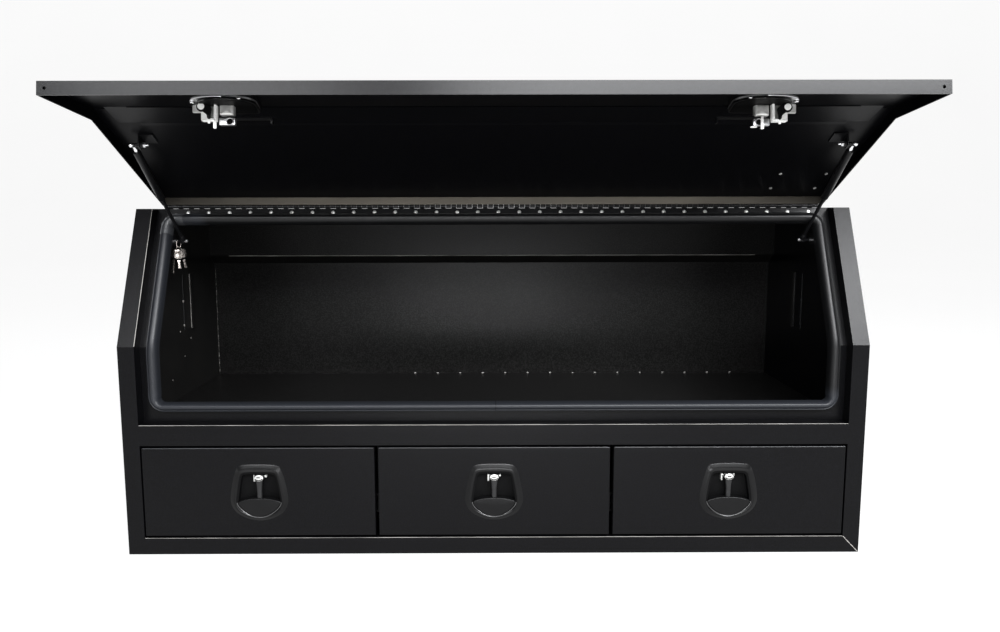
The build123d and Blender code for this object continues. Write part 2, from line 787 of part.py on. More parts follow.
def dish_face(inset, y):
    """The dish's outline: flat top, round corners, flaring sides and round bottom, less an inset."""
    top = DISH_HEIGHT / 2 - inset
    shoulder = DISH_TOP_WIDTH / 2 - inset
    hip = (DISH_WIDTH / 2 - inset, -DISH_HIP_DROP)
    start = (shoulder - DISH_CORNER, top)
    corner = bow(start, (shoulder, top - DISH_CORNER), DISH_CORNER_RISE, CORNER_FACETS)
    return lock_outline(corner + bow(hip, (0, -top), DISH_BOTTOM_RISE, BOTTOM_FACETS), y)


def pocket_face(grow, y):
    """The pocket's outline, with a flat top and a round bottom, made larger by a margin."""
    top = (POCKET_TOP_WIDTH / 2 + grow, POCKET_TOP + grow)
    hip = (POCKET_WIDTH / 2 + grow, -POCKET_HIP_DROP)
    bottom = bow(hip, (0, -POCKET_BOTTOM - grow), POCKET_BOTTOM_RISE, BOTTOM_FACETS)
    return lock_outline([top] + bottom, y)


def deep(face, depth):
    """A face carried into the panel."""
    return Solid.extrude(face, Vector(0, depth, 0))


def pocket_hole(depth):
    """The cut-out in the sheet that the dish's pocket passes through."""
    return deep(pocket_face(POCKET_WALL + POCKET_CLEARANCE, -depth / 2), depth * 1.5)


def lock_dish():
    """The moulded dish: a rounded rim in front, a pocket and a block for the works behind it."""
    rim = loft([dish_face(0, 0), dish_face(DISH_RIM_ROUNDING, -DISH_RIM_THICKNESS)], ruled=True)
    pan = deep(pocket_face(POCKET_WALL, 0), POCKET_DEPTH + POCKET_WALL)
    hollow = deep(pocket_face(0, -2 * DISH_RIM_THICKNESS), POCKET_DEPTH + 2 * DISH_RIM_THICKNESS)
    back = POCKET_DEPTH + POCKET_WALL
    works = block(
        (-HOUSING_WIDTH / 2, HOUSING_WIDTH / 2),
        (back, back + HOUSING_DEPTH),
        (-HOUSING_HEIGHT / 2, HOUSING_HEIGHT / 2),
    )
    dish = rim + pan - hollow + works
    near = STEM_TOP_WIDTH / 2 + CHEEK_CLEARANCE
    far = near + CHEEK_THICKNESS
    axle = x_rod(HANDLE_PIN_RADIUS, -far, far, HANDLE_PIVOT_DEPTH, HANDLE_PIVOT_HEIGHT)
    cheeks = []
    for sign in (-1, 1):
        height = (HANDLE_PIVOT_HEIGHT - CHEEK_DROP, POCKET_TOP)
        cheeks.append(block(span(sign, near, far), (SHEET, POCKET_DEPTH), height))
    return one(dish.fuse(*cheeks, axle))


def lock_handle():
    """The folding pull: a stem that widens to the key barrel and a lens-shaped tail."""
    front = -HANDLE_PROUD
    half = TAIL_WIDTH / 2
    upper = bow((0, TAIL_TOP), (half, TAIL_TIP), TAIL_TOP_RISE, CORNER_FACETS)
    lower = bow((half, TAIL_TIP), (0, TAIL_BOTTOM), TAIL_BOTTOM_RISE, BOTTOM_FACETS)
    tail = deep(lock_outline(upper + lower[1:], front), HANDLE_THICKNESS)
    stem = plate(
        [
            (-STEM_WIDTH / 2, TAIL_TOP - TAIL_OVERLAP),
            (STEM_WIDTH / 2, TAIL_TOP - TAIL_OVERLAP),
            (STEM_TOP_WIDTH / 2, HANDLE_PIVOT_HEIGHT - STEM_TAPER_DROP),
            (STEM_TOP_WIDTH / 2, HANDLE_PIVOT_HEIGHT),
            (-STEM_TOP_WIDTH / 2, HANDLE_PIVOT_HEIGHT),
            (-STEM_TOP_WIDTH / 2, HANDLE_PIVOT_HEIGHT - STEM_TAPER_DROP),
        ],
        front,
        front + HANDLE_THICKNESS + STEM_EXTRA_DEPTH,
    )
    bore = x_rod(HANDLE_PIN_RADIUS + HINGE_CLEARANCE, -HALF, HALF, HANDLE_PIVOT_DEPTH, HANDLE_PIVOT_HEIGHT)
    half_top = STEM_TOP_WIDTH / 2
    hub = x_rod(HANDLE_HUB_RADIUS, -half_top, half_top, HANDLE_PIVOT_DEPTH, HANDLE_PIVOT_HEIGHT, ROUND_SIDES)
    key_height = HANDLE_PIVOT_HEIGHT - KEY_BARREL_DROP
    barrel = y_rod(KEY_BARREL_RADIUS, front - KEY_BARREL_PROUD, 0, 0, key_height, ROUND_SIDES)
    return one(tail + stem + hub + barrel - bore)


def lock_cam(length, sign):
    """The arm behind the lock with its bent finger, pointing sideways at rest."""
    start = POCKET_DEPTH + POCKET_WALL + HOUSING_DEPTH
    spindle = y_rod(SPINDLE_RADIUS, start + STRUT_CLEARANCE / 2, start + SPINDLE_LENGTH, 0, 0)
    arm_low = start + SPINDLE_LENGTH - CAM_THICKNESS
    arm = block(span(sign, 0, length), (arm_low, arm_low + CAM_THICKNESS), (-CAM_WIDTH / 2, CAM_WIDTH / 2))
    head = y_rod(CAM_WIDTH / 2, arm_low, arm_low + CAM_THICKNESS, 0, 0, ROUND_SIDES)
    finger = block(
        span(sign, length - CAM_THICKNESS, length),
        (arm_low, arm_low + CAM_FINGER),
        (-CAM_WIDTH / 3, CAM_WIDTH / 3),
    )
    return one(spindle + arm + head + finger)


def lid_lock_plate():
    """The zinc ring that clamps a lid lock from inside, clear of stiffener and flange, with its screws."""
    low = SHEET + PLATE_THICKNESS
    top = KNEE_HEIGHT - STIFFENER_BELOW_BEND - PLATE_CLEARANCE - LID_LOCK_HEIGHT
    bottom = LID_BOTTOM + SHEET + PLATE_CLEARANCE - LID_LOCK_HEIGHT
    ring = deep(dish_face(PLATE_INSET, SHEET), PLATE_THICKNESS) - pocket_hole(8 * SHEET)
    ring = ring & block((-DISH_WIDTH, DISH_WIDTH), (0, DISH_WIDTH), (bottom, top))
    screws = []
    for spread, rise in ((UPPER_SCREW_SPREAD, SCREW_RISE), (LOWER_SCREW_SPREAD, -SCREW_RISE)):
        for sign in (-1, 1):
            screws.append(y_rod(NUT_RADIUS, low, low + NUT_HEIGHT, sign * spread, rise, NUT_SIDES))
    return one(ring.fuse(*screws))


# Drawers


def drawer_centre(i):
    """The middle of a drawer along X."""
    return (i - (DRAWER_COUNT - 1) / 2) * DRAWER_PITCH


def drawer_front():
    """The folded front with rounded edges, open at its back, and the lock's cut-out."""
    half = FRONT_WIDTH / 2
    body = block((-half, half), (0, FRONT_THICKNESS), (FRONT_BOTTOM, FRONT_BOTTOM + FRONT_HEIGHT))
    body = body.solids()[0]
    edges = [e for e in body.edges() if abs(e.center().Y) < 0.01]
    body = body.fillet(FRONT_ROUNDING, edges)
    hollow = block(
        (SHEET - half, half - SHEET),
        (SHEET, 2 * FRONT_THICKNESS),
        (FRONT_BOTTOM + SHEET, FRONT_BOTTOM + FRONT_HEIGHT - SHEET),
    )
    return one(body - hollow - Pos(0, 0, DRAWER_LOCK_HEIGHT) * pocket_hole(2 * SHEET))


def drawer_box():
    """The folded tray, closed in front by the drawer front, with a rim along its sides and back."""
    half = BOX_WIDTH / 2
    front = SHEET
    back = front + DRAWER_LENGTH
    top = BOX_TOP
    tray = block((-half, half), (front, back), (BOX_BOTTOM, top))
    tray = tray - block(
        (DRAWER_SHEET - half, half - DRAWER_SHEET),
        (front - DRAWER_SHEET, back - DRAWER_SHEET),
        (BOX_BOTTOM + DRAWER_SHEET, top + DRAWER_SHEET),
    )
    rim = (top - DRAWER_SHEET, top)
    for sign in (-1, 1):
        tray = tray + block(span(sign, half - DRAWER_RIM, half), (front, back), rim)
    tray = tray + block((-half, half), (back - DRAWER_RIM, back), rim)
    return one(tray)


def runner_outer_members():
    """The fixed C-shaped members of all drawer runners."""
    members = []
    half_height = RUNNER_HEIGHT / 2
    reach = RUNNER_THICKNESS * 0.75
    for i in range(DRAWER_COUNT):
        for sign in (-1, 1):
            wall = DRAWER_BAY / 2
            member = block(
                span(sign, wall - reach, wall),
                (RUNNER_SETBACK, RUNNER_SETBACK + RUNNER_LENGTH),
                (RUNNER_CENTRE_HEIGHT - half_height, RUNNER_CENTRE_HEIGHT + half_height),
            )
            hollow = block(
                span(sign, wall - reach - 1, wall - RUNNER_WALL),
                (RUNNER_SETBACK - 1, RUNNER_SETBACK + RUNNER_LENGTH + 1),
                (
                    RUNNER_CENTRE_HEIGHT - half_height + RUNNER_WALL,
                    RUNNER_CENTRE_HEIGHT + half_height - RUNNER_WALL,
                ),
            )
            members.append(Pos(drawer_centre(i), 0, 0) * one(member - hollow))
    return Compound(members)


def runner_inner_members():
    """The two sliding members on a drawer's sides."""
    members = []
    half_height = RUNNER_HEIGHT / 2 - RUNNER_WALL - RUNNER_CLEARANCE
    for sign in (-1, 1):
        low = BOX_WIDTH / 2
        high = DRAWER_BAY / 2 - RUNNER_WALL - RUNNER_CLEARANCE
        member = block(
            span(sign, low, high),
            (RUNNER_SETBACK, RUNNER_SETBACK + RUNNER_LENGTH),
            (RUNNER_CENTRE_HEIGHT - half_height, RUNNER_CENTRE_HEIGHT + half_height),
        )
        hollow = block(
            span(sign, low + RUNNER_WALL, high + 1),
            (RUNNER_SETBACK - 1, RUNNER_SETBACK + RUNNER_LENGTH + 1),
            (
                RUNNER_CENTRE_HEIGHT - half_height + RUNNER_WALL,
                RUNNER_CENTRE_HEIGHT + half_height - RUNNER_WALL,
            ),
        )
        members.append(one(member - hollow))
    return Compound(members)


# Gas struts, drawn along the line between their two studs in the open place


def strut_line():
    """The strut's upper end, its direction and its length, with the lid open."""
    y, z = on_slope(STRUT_LID_DISTANCE, STRUT_LID_STANDOFF)
    turn = radians(LID_OPEN_ANGLE)
    dy, dz = y - PIN_Y, z - PIN_Z
    upper = (PIN_Y + cos(turn) * dy + sin(turn) * dz, PIN_Z - sin(turn) * dy + cos(turn) * dz)
    length = hypot(STRUT_BODY_Y - upper[0], STRUT_BODY_Z - upper[1])
    direction = ((STRUT_BODY_Y - upper[0]) / length, (STRUT_BODY_Z - upper[1]) / length)
    return upper, direction, length


def strut_tube_length():
    """The tube's length, which leaves a little play between its mouth and the rod's fitting when shut."""
    y, z = on_slope(STRUT_LID_DISTANCE, STRUT_LID_STANDOFF)
    return hypot(STRUT_BODY_Y - y, STRUT_BODY_Z - z) - 2 * STRUT_END_LENGTH - STRUT_CLOSED_PLAY


def along_strut(radius, start, end, x):
    """A round bar on the strut's line between two distances from its upper end."""
    upper, direction, _ = strut_line()
    plane = Plane(
        origin=(x, upper[0] + direction[0] * start, upper[1] + direction[1] * start),
        x_dir=(1, 0, 0),
        z_dir=(0, direction[0], direction[1]),
    )
    return plane * Cylinder(radius, end - start, align=(Align.CENTER, Align.CENTER, Align.MIN))


def strut_tube(sign):
    """The gas cylinder with its upper end fitting."""
    upper, _, _ = strut_line()
    x = sign * STRUT_X
    half = STRUT_EYE_LENGTH / 2
    eye = x_rod(STRUT_END_RADIUS, x - half, x + half, *upper)
    neck = along_strut(STRUT_ROD_RADIUS, 0, STRUT_END_LENGTH + 2, x)
    mouth = STRUT_END_LENGTH + strut_tube_length()
    tube = along_strut(STRUT_TUBE_RADIUS, STRUT_END_LENGTH, mouth, x)
    bore = along_strut(STRUT_ROD_RADIUS + STRUT_BORE_CLEARANCE, STRUT_END_LENGTH + STRUT_CAP, mouth + 1, x)
    return one(eye + neck + tube - bore)


def strut_rod(sign):
    """The piston rod with its lower end fitting."""
    _, _, length = strut_line()
    x = sign * STRUT_X
    half = STRUT_EYE_LENGTH / 2
    start = STRUT_END_LENGTH + strut_tube_length() - STRUT_OVERLAP
    rod = along_strut(STRUT_ROD_RADIUS, start, length, x)
    fitting = along_strut(STRUT_END_RADIUS, length - STRUT_END_LENGTH + 2, length - 2, x)
    eye = x_rod(STRUT_END_RADIUS, x - half, x + half, STRUT_BODY_Y, STRUT_BODY_Z)
    bore = x_rod(STUD_RADIUS + STRUT_BORE_CLEARANCE, x - 2 * half, x + 2 * half, STRUT_BODY_Y, STRUT_BODY_Z)
    return one(rod + fitting + eye - bore)


def strut_brackets():
    """The plates behind the gutter that carry the struts' lower studs."""
    brackets = []
    low = STRUT_BODY_Z - BRACKET_MARGIN
    high = STRUT_BODY_Z + 1.5 * BRACKET_MARGIN
    for sign in (-1, 1):
        side = span(sign, LIP_HALF + 1, LIP_HALF + 1 + EAR_THICKNESS)
        outline = [
            (behind_gutter(low), low),
            (behind_gutter(high), high),
            (STRUT_BODY_Y + BRACKET_MARGIN, high),
            (STRUT_BODY_Y + BRACKET_MARGIN, low),
        ]
        stud = x_rod(
            STUD_RADIUS,
            *span(sign, STRUT_X - STRUT_EYE_LENGTH / 2 - 1, LIP_HALF + 2),
            STRUT_BODY_Y,
            STRUT_BODY_Z,
        )
        brackets.append(one(slab(outline, *side) + stud))
    return Compound(brackets)


# Keys


def key_bunch():
    """The ring on the left lower stud with its keys, fanned a little."""
    x = -(STRUT_X + STRUT_EYE_LENGTH / 2 + LIP_HALF + 1) / 2
    inner = KEY_RING_RADIUS - KEY_WIRE_RADIUS
    ring_z = STRUT_BODY_Z + STUD_RADIUS + KEY_RING_CLEARANCE - inner
    wire = (x - KEY_WIRE_RADIUS, x + KEY_WIRE_RADIUS)
    outer = x_rod(KEY_RING_RADIUS + KEY_WIRE_RADIUS, *wire, STRUT_BODY_Y, ring_z)
    ring = outer - x_rod(inner, x - KEY_RING_RADIUS, x + KEY_RING_RADIUS, STRUT_BODY_Y, ring_z)
    pieces = [one(ring)]
    for i in range(KEY_COUNT):
        along = KEY_PITCH * (i + 0.5)
        y = STRUT_BODY_Y + along
        wire_z = ring_z - (KEY_RING_RADIUS**2 - along**2) ** 0.5
        hole_z = wire_z + KEY_WIRE_RADIUS + KEY_RING_CLEARANCE - KEY_HOLE_RADIUS
        head_z = hole_z - KEY_HEAD_RADIUS + KEY_HOLE_RADIUS + 1.5
        head = y_rod(KEY_HEAD_RADIUS, y - KEY_THICKNESS / 2, y + KEY_THICKNESS / 2, x, head_z)
        low = head_z - KEY_HEAD_RADIUS - KEY_BLADE_LENGTH
        half = KEY_BLADE_WIDTH / 2
        blade = plate(
            [
                (x - half, head_z - half),
                (x + half, head_z - half),
                (x + half, low + 2 * half),
                (x + half / 2, low),
                (x - half / 2, low),
                (x - half, low + half),
            ],
            y - KEY_THICKNESS / 2,
            y + KEY_THICKNESS / 2,
        )
        hole = y_rod(KEY_HOLE_RADIUS, y - 2 * KEY_THICKNESS, y + 2 * KEY_THICKNESS, x, hole_z)
        key = one(head + blade - hole)
        fan = (i - (KEY_COUNT - 1) / 2) * KEY_FAN
        pieces.append(key.rotate(Axis((x, y, wire_z), (0, 1, 0)), fan))
    return Compound(pieces)


def export(name, shape):
    """Writes a node, moved so that the middle of the base is the origin."""
    export_step(Pos(0, -DEPTH / 2, 0) * shape, f"parts/{name}.step")


def main():
    """Builds every node."""
    export("base_panel", base_panel())
    export("rear_panel", rear_panel())
    export("top_panel", top_panel())
    export("hinge_header", hinge_header())
    for side, sign in SIDES:
        export(f"side_panel_{side}", side_panel(sign))
        export(f"front_post_{side}", front_post(sign))
        export(f"slope_post_{side}", slope_post(sign))
        export(f"strut_tube_{side}", strut_tube(sign))
        export(f"strut_rod_{side}", strut_rod(sign))
    export("bottom_rail", bottom_rail())
    export("mid_rail", mid_rail())
    export("upper_floor", upper_floor())
    export("drawer_partitions", drawer_partitions())
    export("bay_liners", bay_liners())
    export("rear_channel", rear_channel())
    export("side_strips", side_strips())
    export("strut_brackets", strut_brackets())
    export("key_bunch", key_bunch())
    export("opening_lip", opening_lip())
    export("opening_seal", opening_seal())
    export("hinge_body_leaf", hinge_body_leaf())
    export("hinge_lid_leaf", opened(hinge_lid_leaf()))
    export("hinge_pin", hinge_pin())
    export("hinge_rivets", hinge_rivets())
    export("lid_pan", lid_pan())
    export("lid_stiffener", lid_stiffener())
    export("lid_strut_brackets", lid_strut_brackets())
    export("lid_rivets", lid_rivets())
    export("runner_outer_members", runner_outer_members())
    for i, bay in enumerate(BAYS):
        place = Pos(drawer_centre(i), 0, 0)
        lock_place = Pos(drawer_centre(i), 0, DRAWER_LOCK_HEIGHT)
        export(f"drawer_front_{bay}", place * drawer_front())
        export(f"drawer_box_{bay}", place * drawer_box())
        export(f"runner_inner_{bay}", place * runner_inner_members())
        export(f"drawer_lock_dish_{bay}", lock_place * lock_dish())
        export(f"drawer_handle_{bay}", lock_place * lock_handle())
        export(f"drawer_cam_{bay}", lock_place * lock_cam(DRAWER_CAM_LENGTH, 1))
    for side, sign in SIDES:
        lock_place = Pos(sign * LID_LOCK_SPACING / 2, 0, LID_LOCK_HEIGHT)
        export(f"lid_lock_dish_{side}", opened(lock_place * lock_dish()))
        export(f"lid_handle_{side}", opened(lock_place * lock_handle()))
        export(f"lid_cam_{side}", opened(lock_place * lock_cam(LID_CAM_LENGTH, -sign)))
        export(f"lid_lock_plate_{side}", opened(lock_place * lid_lock_plate()))


main()
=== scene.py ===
import math

import bmesh
import bpy
import numpy as np
from bpy.props import FloatProperty, FloatVectorProperty, PointerProperty
from bpy.types import Operator, Panel, PropertyGroup
from mathutils import Matrix, Vector


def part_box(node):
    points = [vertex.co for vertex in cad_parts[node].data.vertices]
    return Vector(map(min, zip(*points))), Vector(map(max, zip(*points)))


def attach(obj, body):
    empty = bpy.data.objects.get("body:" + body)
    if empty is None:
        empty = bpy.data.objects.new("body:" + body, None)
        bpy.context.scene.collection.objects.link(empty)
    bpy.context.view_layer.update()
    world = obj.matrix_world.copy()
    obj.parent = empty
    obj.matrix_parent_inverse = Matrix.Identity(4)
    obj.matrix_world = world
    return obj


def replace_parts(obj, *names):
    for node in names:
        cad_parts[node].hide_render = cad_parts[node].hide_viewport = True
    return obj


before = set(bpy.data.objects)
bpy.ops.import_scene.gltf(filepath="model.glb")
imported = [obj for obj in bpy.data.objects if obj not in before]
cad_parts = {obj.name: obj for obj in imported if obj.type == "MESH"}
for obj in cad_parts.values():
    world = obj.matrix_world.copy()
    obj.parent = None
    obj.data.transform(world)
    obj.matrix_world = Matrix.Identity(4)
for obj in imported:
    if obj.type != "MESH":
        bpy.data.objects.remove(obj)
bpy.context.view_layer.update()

bl_info = {
    "name": "Truck bed toolbox",
    "version": (1, 0, 0),
    "blender": (4, 5, 0),
    "location": "View3D > Sidebar > Toolbox",
    "description": "Dresses the packed toolbox: powder coat, locks, hinge, struts, keys and stage",
    "category": "Object",
}

SIDES = (("left", -1.0), ("right", 1.0))
BAYS = ("left", "middle", "right")
MM = 0.001

# Where things lie in the CAD frame, in millimetres, with y counted from the front face
DEPTH = 600.0
PIN = (154.42, 804.96)
LID_OPEN = math.radians(97.0)
BAY_PITCH = 542.0
DRAWER_LOCK_HEIGHT = 149.5
LID_LOCK_X, LID_LOCK_HEIGHT, CATCH_FLOOR = 497.0, 420.0, 17.9
SLOPE_TOP, SLOPE = (127.0, 800.0), (0.3791, 0.9254)
GUTTER, GUTTER_KNEE, KNEE_BEND = 28.0, 484.5, 18.0
SEAL_SIZE, SEAL_CORNER, SEAL_MIDDLE = (1559.0, 446.0), 22.0, 87.5
TAPE_CORNER = (-738.0, 268.0)
LEAF_END, KNUCKLE_PITCH, KNUCKLE_GAP, KNUCKLES = 787.5, 12.7, 0.7, 124
RIVETS, RIVET_PITCH, RIVET_SHIFT = 31, 50.0, 13.0
STRUT_LOW, STRUT_HIGH = (164.0, 722.0), (-64.5, 931.8)
STRUT_X, STUD_X = 755.5, 759.5
POST_EDGE, RAIL_TOP, BOTTOM_TOP = 811.0, 307.8, 38.9
SIDE_FACE, BACK_FACE = 844.6, 597.8

# The photograph's camera: lens, centre and frame in pixels, place in metres, pitch, yaw and roll in degrees
LENS, CENTRE, FRAME = 716.303, (489.857, 293.141), (1000.0, 632.0)
CAMERA_PLACE, CAMERA_TURN = (-0.01413, -1.8925, 0.7909), (-6.4625, -0.1995, 0.1204)

# Softboxes and lamps: name, place, aim, size in metres, power (a share of the key light's, or watts), spread
SHARED_LAMPS = (
    ("key_softbox", (1.25, -3.3, 2.5), (0.15, 0.0, 0.85), (3.2, 0.8), 1.0, 3.14),
    ("left_softbox", (-1.6, -3.3, 2.2), (-0.1, 0.0, 0.85), (1.6, 0.7), 0.22, 3.14),
    ("high_right_softbox", (3.1, -3.0, 3.0), (0.6, 0.0, 0.7), (1.2, 1.2), 0.35, 3.14),
    ("floor_card", (0.0, -2.75, 0.12), (0.0, 0.3, 0.5), (1.3, 0.5), 0.022, 1.6),
)
STEADY_LAMPS = (
    ("front_strip", (0.0, -1.2, 3.6), (0.0, -0.3, 0.3), (3.4, 0.5), 40.0, 3.14),
    ("overhead", (0.0, 0.8, 4.2), (0.0, 0.8, 0.0), (5.0, 4.0), 30.0, 3.14),
)


# Numpy helpers: points are arrays whose last axis is x, y, z in millimetres


def row(points):
    """Millimetres from the front face to metres in the row frame: (x, y - DEPTH / 2, z) / 1000."""
    return (np.asarray(points, float) - (0.0, DEPTH / 2, 0.0)) * MM


def box_in_mm(node):
    """A CAD node's lowest and highest corner in millimetres from the front face."""
    return np.array(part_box(node)) / MM + (0.0, DEPTH / 2, 0.0)


def open_lid(points):
    """Closed lid points turned about the pin by -97 degrees: y' = c y + s z and z' = c z - s y."""
    p = np.array(points, float)
    y, z = p[..., 1] - PIN[0], p[..., 2] - PIN[1]
    c, s = math.cos(LID_OPEN), math.sin(LID_OPEN)
    p[..., 1] = PIN[0] + c * y + s * z
    p[..., 2] = PIN[1] + c * z - s * y
    return p


def laid(outline, depth):
    """An outline of (x, z) laid at a depth along y: (x, depth, z)."""
    return np.insert(np.asarray(outline, float), 1, depth, 1)


def rings(outlines, depths):
    """Outlines of equal length laid at depths, as rows of points."""
    return np.stack([laid(outline, depth) for outline, depth in zip(outlines, depths)])


def capped(rows):
    """Rows with one more at each end, drawn together in the end row's middle."""
    first, last = (np.broadcast_to(rows[i].mean(0), rows[i].shape) for i in (0, -1))
    return np.stack([first, *rows, last])


def sloped(profile, low, high):
    """A bar along x whose section (down the slope, behind its face) is closed at both ends."""
    p = np.asarray(profile, float)
    y = SLOPE_TOP[0] - SLOPE[0] * p[:, 0] + SLOPE[1] * p[:, 1]
    z = SLOPE_TOP[1] - SLOPE[1] * p[:, 0] - SLOPE[0] * p[:, 1]
    return capped([np.column_stack([np.full(len(p), x), y, z]) for x in (low, high)])


def on_gutter(x, s, h):
    """The gutter's floor folded at the knee: s runs up from the knee, h stands out from the floor.

    It is upright below the bend and leans with the slope above it; between them both coordinates grow with
    the square of the way round the bend."""
    run = 2 * KNEE_BEND
    bend = np.clip(s / run + 0.5, 0.0, 1.0)
    above, below = s > KNEE_BEND, s < -KNEE_BEND
    curve_y = GUTTER + run * SLOPE[0] * bend**2 / 2
    curve_z = GUTTER_KNEE - KNEE_BEND + run * bend - run * (1 - SLOPE[1]) * bend**2 / 2
    y = np.where(above, GUTTER + SLOPE[0] * s, np.where(below, GUTTER, curve_y))
    z = np.where(above, GUTTER_KNEE + SLOPE[1] * s, np.where(below, GUTTER_KNEE + s, curve_z))
    out_y, out_z = (1 - SLOPE[1]) * bend - 1, SLOPE[0] * bend
    size = np.hypot(out_y, out_z)
    return np.stack([x + 0.0 * s, y + h * out_y / size, z + h * out_z / size], -1)


def curve_through(points, count):
    """Closed Catmull-Rom curve: each span is a cubic of its four nearest points, with tension one half."""
    p = np.asarray(points, float)
    n = len(p)
    u = np.linspace(0.0, n, count, endpoint=False)
    i = np.floor(u).astype(int)
    t = (u - i)[:, None]
    a, b, c, d = p[(i - 1) % n], p[i % n], p[(i + 1) % n], p[(i + 2) % n]
    return 0.5 * (2 * b + (c - a) * t + (2 * a - 5 * b + 4 * c - d) * t**2 + (3 * b - a - 3 * c + d) * t**3)


def both_halves(points):
    """A right half outline from top to bottom, followed by its mirror from bottom to top."""
    p = np.asarray(points, float)
    left = p[1:-1][::-1] * (-1.0, 1.0)
    return np.concatenate([p, left])


def rounded_box(width, height, radius, count=10):
    """A rectangle's outline whose corners are quarter circles: corner centre plus r (cos t, sin t)."""
    w, h = width / 2 - radius, height / 2 - radius
    corners = ((w, h, 0.0), (-w, h, 0.5), (-w, -h, 1.0), (w, -h, 1.5))
    t = np.linspace(0.0, np.pi / 2, count)
    turns = [t + k * np.pi for _, _, k in corners]
    arcs = [radius * np.stack([np.cos(turn), np.sin(turn)], -1) for turn in turns]
    return np.concatenate([arc + (x, z) for arc, (x, z, _) in zip(arcs, corners)])


def inset(outline, amount):
    """A closed outline moved inwards along its normals, which are its tangents turned a quarter."""
    tangent = np.roll(outline, -1, 0) - np.roll(outline, 1, 0)
    tangent /= np.maximum(np.linalg.norm(tangent, axis=1, keepdims=True), 1e-9)
    normal = np.stack([-tangent[:, 1], tangent[:, 0]], -1)
    area = np.sum(outline[:, 0] * np.roll(outline[:, 1], -1) - outline[:, 1] * np.roll(outline[:, 0], -1))
    return outline + normal * amount * np.sign(area)


def pillow(outline, front, back, radius, steps=5):
    """A slab whose front edge is a quarter circle: inset r (1 - sin t) at depth front + r (1 - cos t)."""
    t = np.linspace(0.0, np.pi / 2, steps)
    middle = np.broadcast_to(outline.mean(0), outline.shape)
    loops = [middle] + [inset(outline, radius * (1 - math.sin(a))) for a in t]
    depths = [front] + [front + radius * (1 - math.cos(a)) for a in t]
    return rings(loops + [outline, middle], depths + [back, back])


def lathe(profile, count=32):
    """A turned part: each (radius, along) of the profile goes round to (r cos t, along, r sin t)."""
    p = np.asarray(profile, float)
    t = np.linspace(0.0, 2 * np.pi, count, endpoint=False)
    x = p[:, :1] * np.cos(t)
    z = p[:, :1] * np.sin(t)
    y = np.broadcast_to(p[:, 1:2], x.shape)
    return np.stack([x, y, z], -1)


def tube(path, radius, count):
    """A round bar along points: centre + r (cos t n + sin t b), with n and b square to the path.

    n is the tangent crossed with the axis that the path follows least."""
    p = np.asarray(path, float)
    tangent = np.gradient(p, axis=0)
    tangent /= np.linalg.norm(tangent, axis=1, keepdims=True)
    n = np.cross(tangent, np.eye(3)[np.abs(tangent).max(0).argmin()])
    n /= np.linalg.norm(n, axis=1, keepdims=True)
    b = np.cross(tangent, n)
    t = np.linspace(0.0, 2 * np.pi, count, endpoint=False)[None, :, None]
    r = np.broadcast_to(np.asarray(radius, float).reshape(-1, 1, 1), (len(p), 1, 1))
    body = p[:, None] + r * (np.cos(t) * n[:, None] + np.sin(t) * b[:, None])
    ends = np.broadcast_to(p[[0, -1], None], (2, count, 3))
    return np.concatenate([ends[:1], body, ends[1:]])


def thread(first, last, radius, steps=40):
    """A thin bar of eight sides from one point to another."""
    return tube(np.linspace(first, last, steps), radius, 8)


def turned(points, axis, degrees):
    """Points turned about an axis."""
    m = np.array(Matrix.Rotation(math.radians(degrees), 3, axis))
    return points @ m.T


class Surface:
    """Grids of points gathered into one mesh."""

    def __init__(self, *grids):
        self.points, self.quads, self.total = [], [], 0
        for grid in grids:
            self.add(grid)

    def add(self, grid, closed=True):
        """Adds rows of points, joined by quads; closed rows join their last point to their first."""
        rows, columns = grid.shape[:2]
        across = columns if closed else columns - 1
        r, c = np.meshgrid(np.arange(rows - 1), np.arange(across), indexing="ij")
        after = (c + 1) % columns
        low, high = r * columns, (r + 1) * columns
        quads = np.stack([low + c, low + after, high + after, high + c], -1)
        self.points.append(grid.reshape(-1, 3))
        self.quads.append(quads.reshape(-1, 4) + self.total)
        self.total += rows * columns
        return self

    def build(self, name, coat, body, place=row, smooth_angle=35.0):
        """Makes the object, with merged poles, outward faces and a finish, and lets it ride on a body."""
        mesh = bpy.data.meshes.new(name)
        points = place(np.concatenate(self.points))
        mesh.from_pydata(points.tolist(), [], np.concatenate(self.quads).tolist())
        solid = bmesh.new()
        solid.from_mesh(mesh)
        bmesh.ops.remove_doubles(solid, verts=solid.verts, dist=2e-6)
        bmesh.ops.dissolve_degenerate(solid, edges=solid.edges, dist=1e-7)
        bmesh.ops.recalc_face_normals(solid, faces=solid.faces)
        limit = math.radians(smooth_angle)
        for edge in solid.edges:
            edge.smooth = len(edge.link_faces) == 2 and edge.calc_face_angle(0.0) < limit
        for face in solid.faces:
            face.smooth = True
        solid.to_mesh(mesh)
        solid.free()
        mesh.materials.append(finish(coat))
        piece = bpy.data.objects.new(name, mesh)
        bpy.context.scene.collection.objects.link(piece)
        if body:
            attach(piece, body)
        return piece


# Shader maths


class Value:
    """A shader socket; Python operators on it add Math nodes."""

    def __init__(self, finish, socket):
        self.finish, self.socket = finish, socket

    def maths(self, operation, *inputs):
        """A Math node of that operation."""
        return self.finish.node("ShaderNodeMath", {"operation": operation}, dict(enumerate(inputs)))

    def __add__(self, other):
        return self.maths("ADD", self, other)

    def __sub__(self, other):
        return self.maths("SUBTRACT", self, other)

    def __rsub__(self, other):
        return self.maths("SUBTRACT", other, self)

    def __mul__(self, other):
        return self.maths("MULTIPLY", self, other)

    __radd__, __rmul__ = __add__, __mul__


